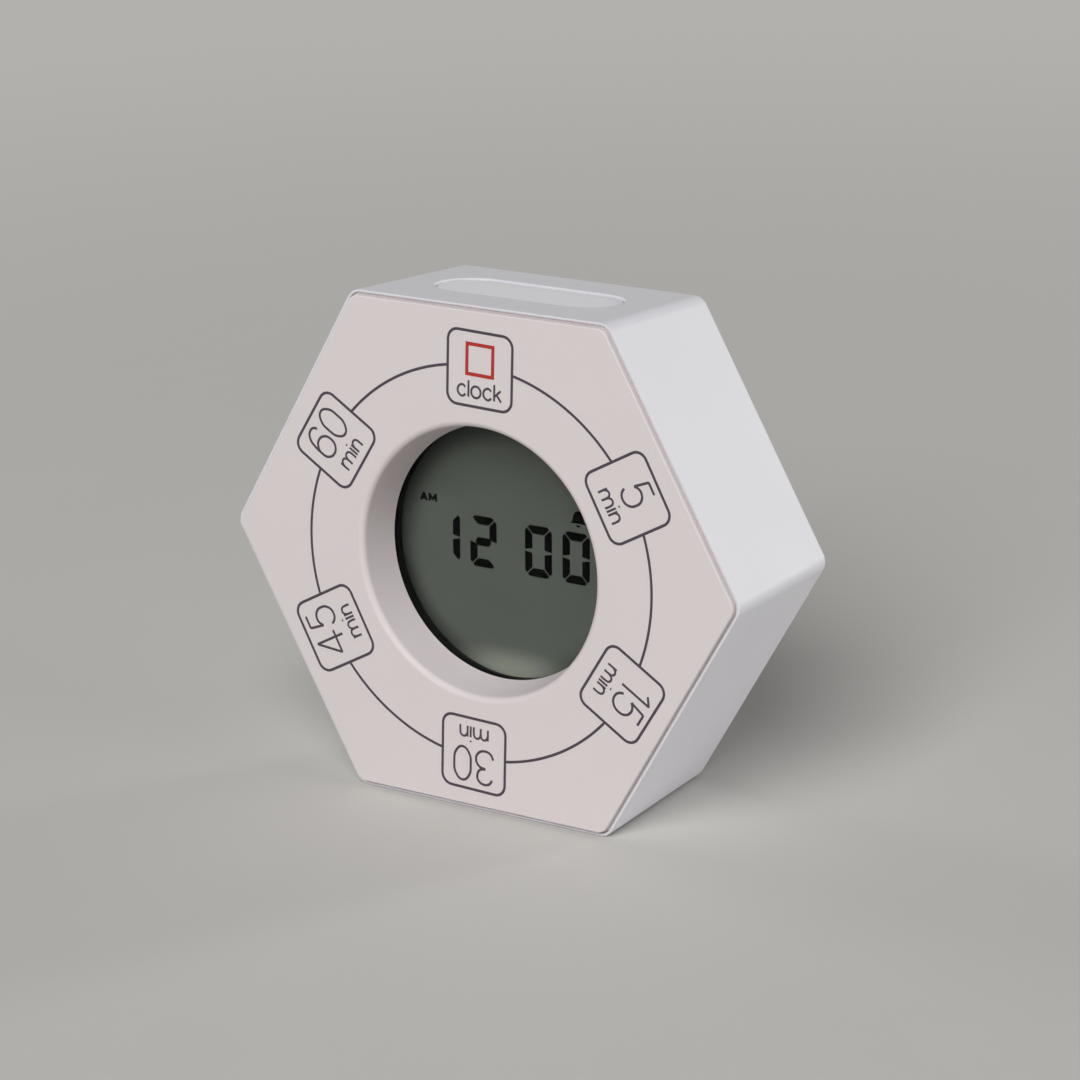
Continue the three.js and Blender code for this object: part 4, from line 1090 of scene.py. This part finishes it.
def makeKey(x):
    v = key
    radius, top = v["radius"], v["top"]
    flange, flangeFront, flangeBack = v["flange"]
    stem, stemEnd = v["stem"]
    dishRim, dishFloor, dishDeep = v["dish"]
    profile = [(0, stemEnd), (stem, stemEnd), (stem, flangeFront), (flange, flangeFront),
               (flange, flangeBack), (radius, flangeBack), (radius, top), (radius - dishRim, top),
               (radius - dishFloor, top - dishDeep), (0, top - dishDeep)]
    return turned(profile, 64, {6: v["edge"]}, x=x, z=shared["keyRise"])


for place, name in enumerate(key["names"], -1):
    settle(makeKey(place * shared["keyStep"]), "key." + name, greyPlastic, body=name + "_key",
           covers=["button_" + name])

# Marks on the back, read from behind, so that x runs the other way
backMarks = dict(line=0.16, ink=0.03, aboveKeys=26.6, keyGap=0.7, arrow=(1.2, 0.8, 0.9),
                 arrowRise=1.05, slider=(-21.0, -19.0), on=2.9, off=-3.1, sliderGap=0.6)
onBack = Matrix.Translation((0, timer["depth"], 0)) @ backward


def makeBackMarks():
    v = backMarks
    step = shared["keyStep"]
    lines = written("SET", v["keyGap"], Matrix.Translation((step, v["aboveKeys"], 0)))
    half, foot, tip = v["arrow"]
    z = v["aboveKeys"] + v["arrowRise"]
    for x, way in ((0, 1), (-step, -1)):
        lines.append(framed((x - half, z - foot * way, 0), (x, z + tip * way, 0),
                            (x + half, z - foot * way, 0)))
    x, z = v["slider"]
    lines += written("ON", v["sliderGap"], Matrix.Translation((x + v["on"], z, 0)))
    lines += written("OFF", v["sliderGap"], Matrix.Translation((x + v["off"], z, 0)))
    return moved(flattened(tubeShape("backMarks", lines, v["line"]), v["ink"] / v["line"]), onBack)


settle(makeBackMarks(), "backMarks", inkGrey)

# The sound slider: a ribbed knob on a cover plate, with the lever that reaches the switch
knob = dict(low=(17.0, 27.9, -24.05), high=(21.0, 31.3, -21.05), edge=0.25, past=1.0,
            rib=(0.2, 0.3), ribs=(18.0, 19.0, 20.0), partEdge=0.1,
            cover=((11.9, 27.4, -25.15), (26.1, 28.4, -19.95)),
            lever=((17.8, 18.4, -23.35), (20.2, 27.9, -21.75)))


def makeSlider():
    v = knob
    half, deep = v["rib"]
    low, top, high = v["low"][2] - v["past"], v["high"][1], v["high"][2] + v["past"]
    ribs = [strip(x, half, (top - deep, low), (top + v["past"], high)) for x in v["ribs"]]
    shape = carve(block(v["low"], v["high"], v["edge"], segments=3), [], [merged(*ribs)])
    return carve(shape, [block(*v[part], v["partEdge"]) for part in ("cover", "lever")])


settle(makeSlider(), "soundSlider", greyPlastic, body="sound_slider",
       covers=["sound_slider"])

screw = dict(head=2.5, height=1.8, shaft=1.2, length=11.0, seat=19.6, tip=(0.6, 1.2),
             crown=(1.6, 0.5), edge=0.5, cross=(1.6, 0.32, 0.9), past=1.0,
             quarters=((1, 1), (-1, 1), (-1, -1), (1, -1)))


def makeScrew(x, z):
    v = screw
    seat, top, end = v["seat"], v["seat"] + v["height"], v["seat"] - v["length"]
    tip, tipLength = v["tip"]
    crown, crownDrop = v["crown"]
    profile = [(0, end), (tip, end), (v["shaft"], end + tipLength), (v["shaft"], seat),
               (v["head"], seat), (v["head"], top - crownDrop), (crown, top), (0, top)]
    blank = turned(profile, 40, {5: v["edge"], 6: v["edge"]}, x=x, z=z)
    reach, half, deep = v["cross"]
    cross = [block((x - a, top - deep, z - b), (x + a, top + v["past"], z + b))
             for a, b in ((reach, half), (half, reach))]
    return carve(blank, [], cross)


for number, (sideX, sideZ) in enumerate(screw["quarters"], 1):
    settle(makeScrew(sideX * bossX, sideZ * bossZ), "rearScrew%d" % number, steelBright,
           covers=["case_screw_%d" % number])
print("keys, slider and screws made")

view = dict(lens=124.03, sensor=36, nearest=0.02, place=(0.32764, -0.48904, 0.23628),
            turn=(71.8016, 1.5870, 33.0522))
cameraData = bpy.data.cameras.new("camera")
cameraData.lens = view["lens"]
cameraData.sensor_width = view["sensor"]
cameraData.clip_start = view["nearest"]
camera = linked("camera", cameraData)
camera.location = view["place"]
camera.rotation_euler = [math.radians(a) for a in view["turn"]]
bpy.context.scene.camera = camera

# A wide floor, which runs into the backdrop between the two distances of its fade
stage = dict(size=12.0, drop=0.00005, tint="cbc9c5", sky=0.05, backdrop="b3b1ad", fade=(0.15, 0.75))
ground = bmesh.new()
bmesh.ops.create_grid(ground, x_segments=1, y_segments=1, size=stage["size"])
floor = looseObject("floor", shifted(ground, z=-stage["drop"]))
floorPale = plastic("floorPale", stage["tint"], 0.8, 0.9, drift=0.02, grain=600.0, bump=0.0)
floor.data.materials.append(floorPale)


# One pale backdrop for what the lens, metal and glass see
def seenDirectly(tree):
    rays = addNode(tree, "LightPath").outputs
    seen = rays["Is Camera Ray"]
    for label in ("Is Glossy Ray", "Is Transmission Ray"):
        seen = addMath(tree, "MAXIMUM", seen, rays[label])
    return seen


def mixShaders(tree, share, plain, other, end):
    choice = addNode(tree, "MixShader", {0: share, 1: plain.outputs[0], 2: other.outputs[0]})
    tree.links.new(choice.outputs[0], tree.nodes[end].inputs["Surface"])


def fadeFloor():
    tree = floorPale.node_tree
    far = easedAway(tree, (0, 0, 0), (1, 1, 1), *stage["fade"], 0.0, 1.0)
    share = addMath(tree, "MULTIPLY", far, seenDirectly(tree))
    glow = addNode(tree, "Emission", {"Color": fromHex(stage["backdrop"])})
    mixShaders(tree, share, tree.nodes["Principled BSDF"], glow, "Material Output")


def makeWorld():
    world = bpy.data.worlds.new("studio")
    world.use_nodes = True
    tree = world.node_tree
    sky = tree.nodes["Background"]
    sky.inputs["Color"].default_value = (1, 1, 1, 1)
    sky.inputs["Strength"].default_value = stage["sky"]
    backdrop = addNode(tree, "Background", {"Color": fromHex(stage["backdrop"])})
    mixShaders(tree, seenDirectly(tree), sky, backdrop, "World Output")
    bpy.context.scene.world = world


fadeFloor()
makeWorld()

# Soft square lamps: place, size and power
lamps = dict(front=((0.81, -2.94, 2.62), 2.5, 141.0), side=((3.7, 0.4, 0.95), 2.0, 18.0),
             back=((1.9, 3.3, 0.42), 0.7, 65.0), left=((-3.2, 0.3, 0.45), 0.7, 26.0))
lampAim = Vector((0, 0, 0.04))
for name, (place, size, power) in lamps.items():
    lampData = bpy.data.lights.new(name, "AREA")
    lampData.size = size
    lampData.energy = power
    lamp = linked(name, lampData)
    lamp.location = place
    lamp.visible_camera = False
    lamp.rotation_euler = (lampAim - Vector(place)).to_track_quat("-Z", "Y").to_euler()
bpy.context.scene.view_settings.view_transform = "Standard"
print("camera, floor and lights set")
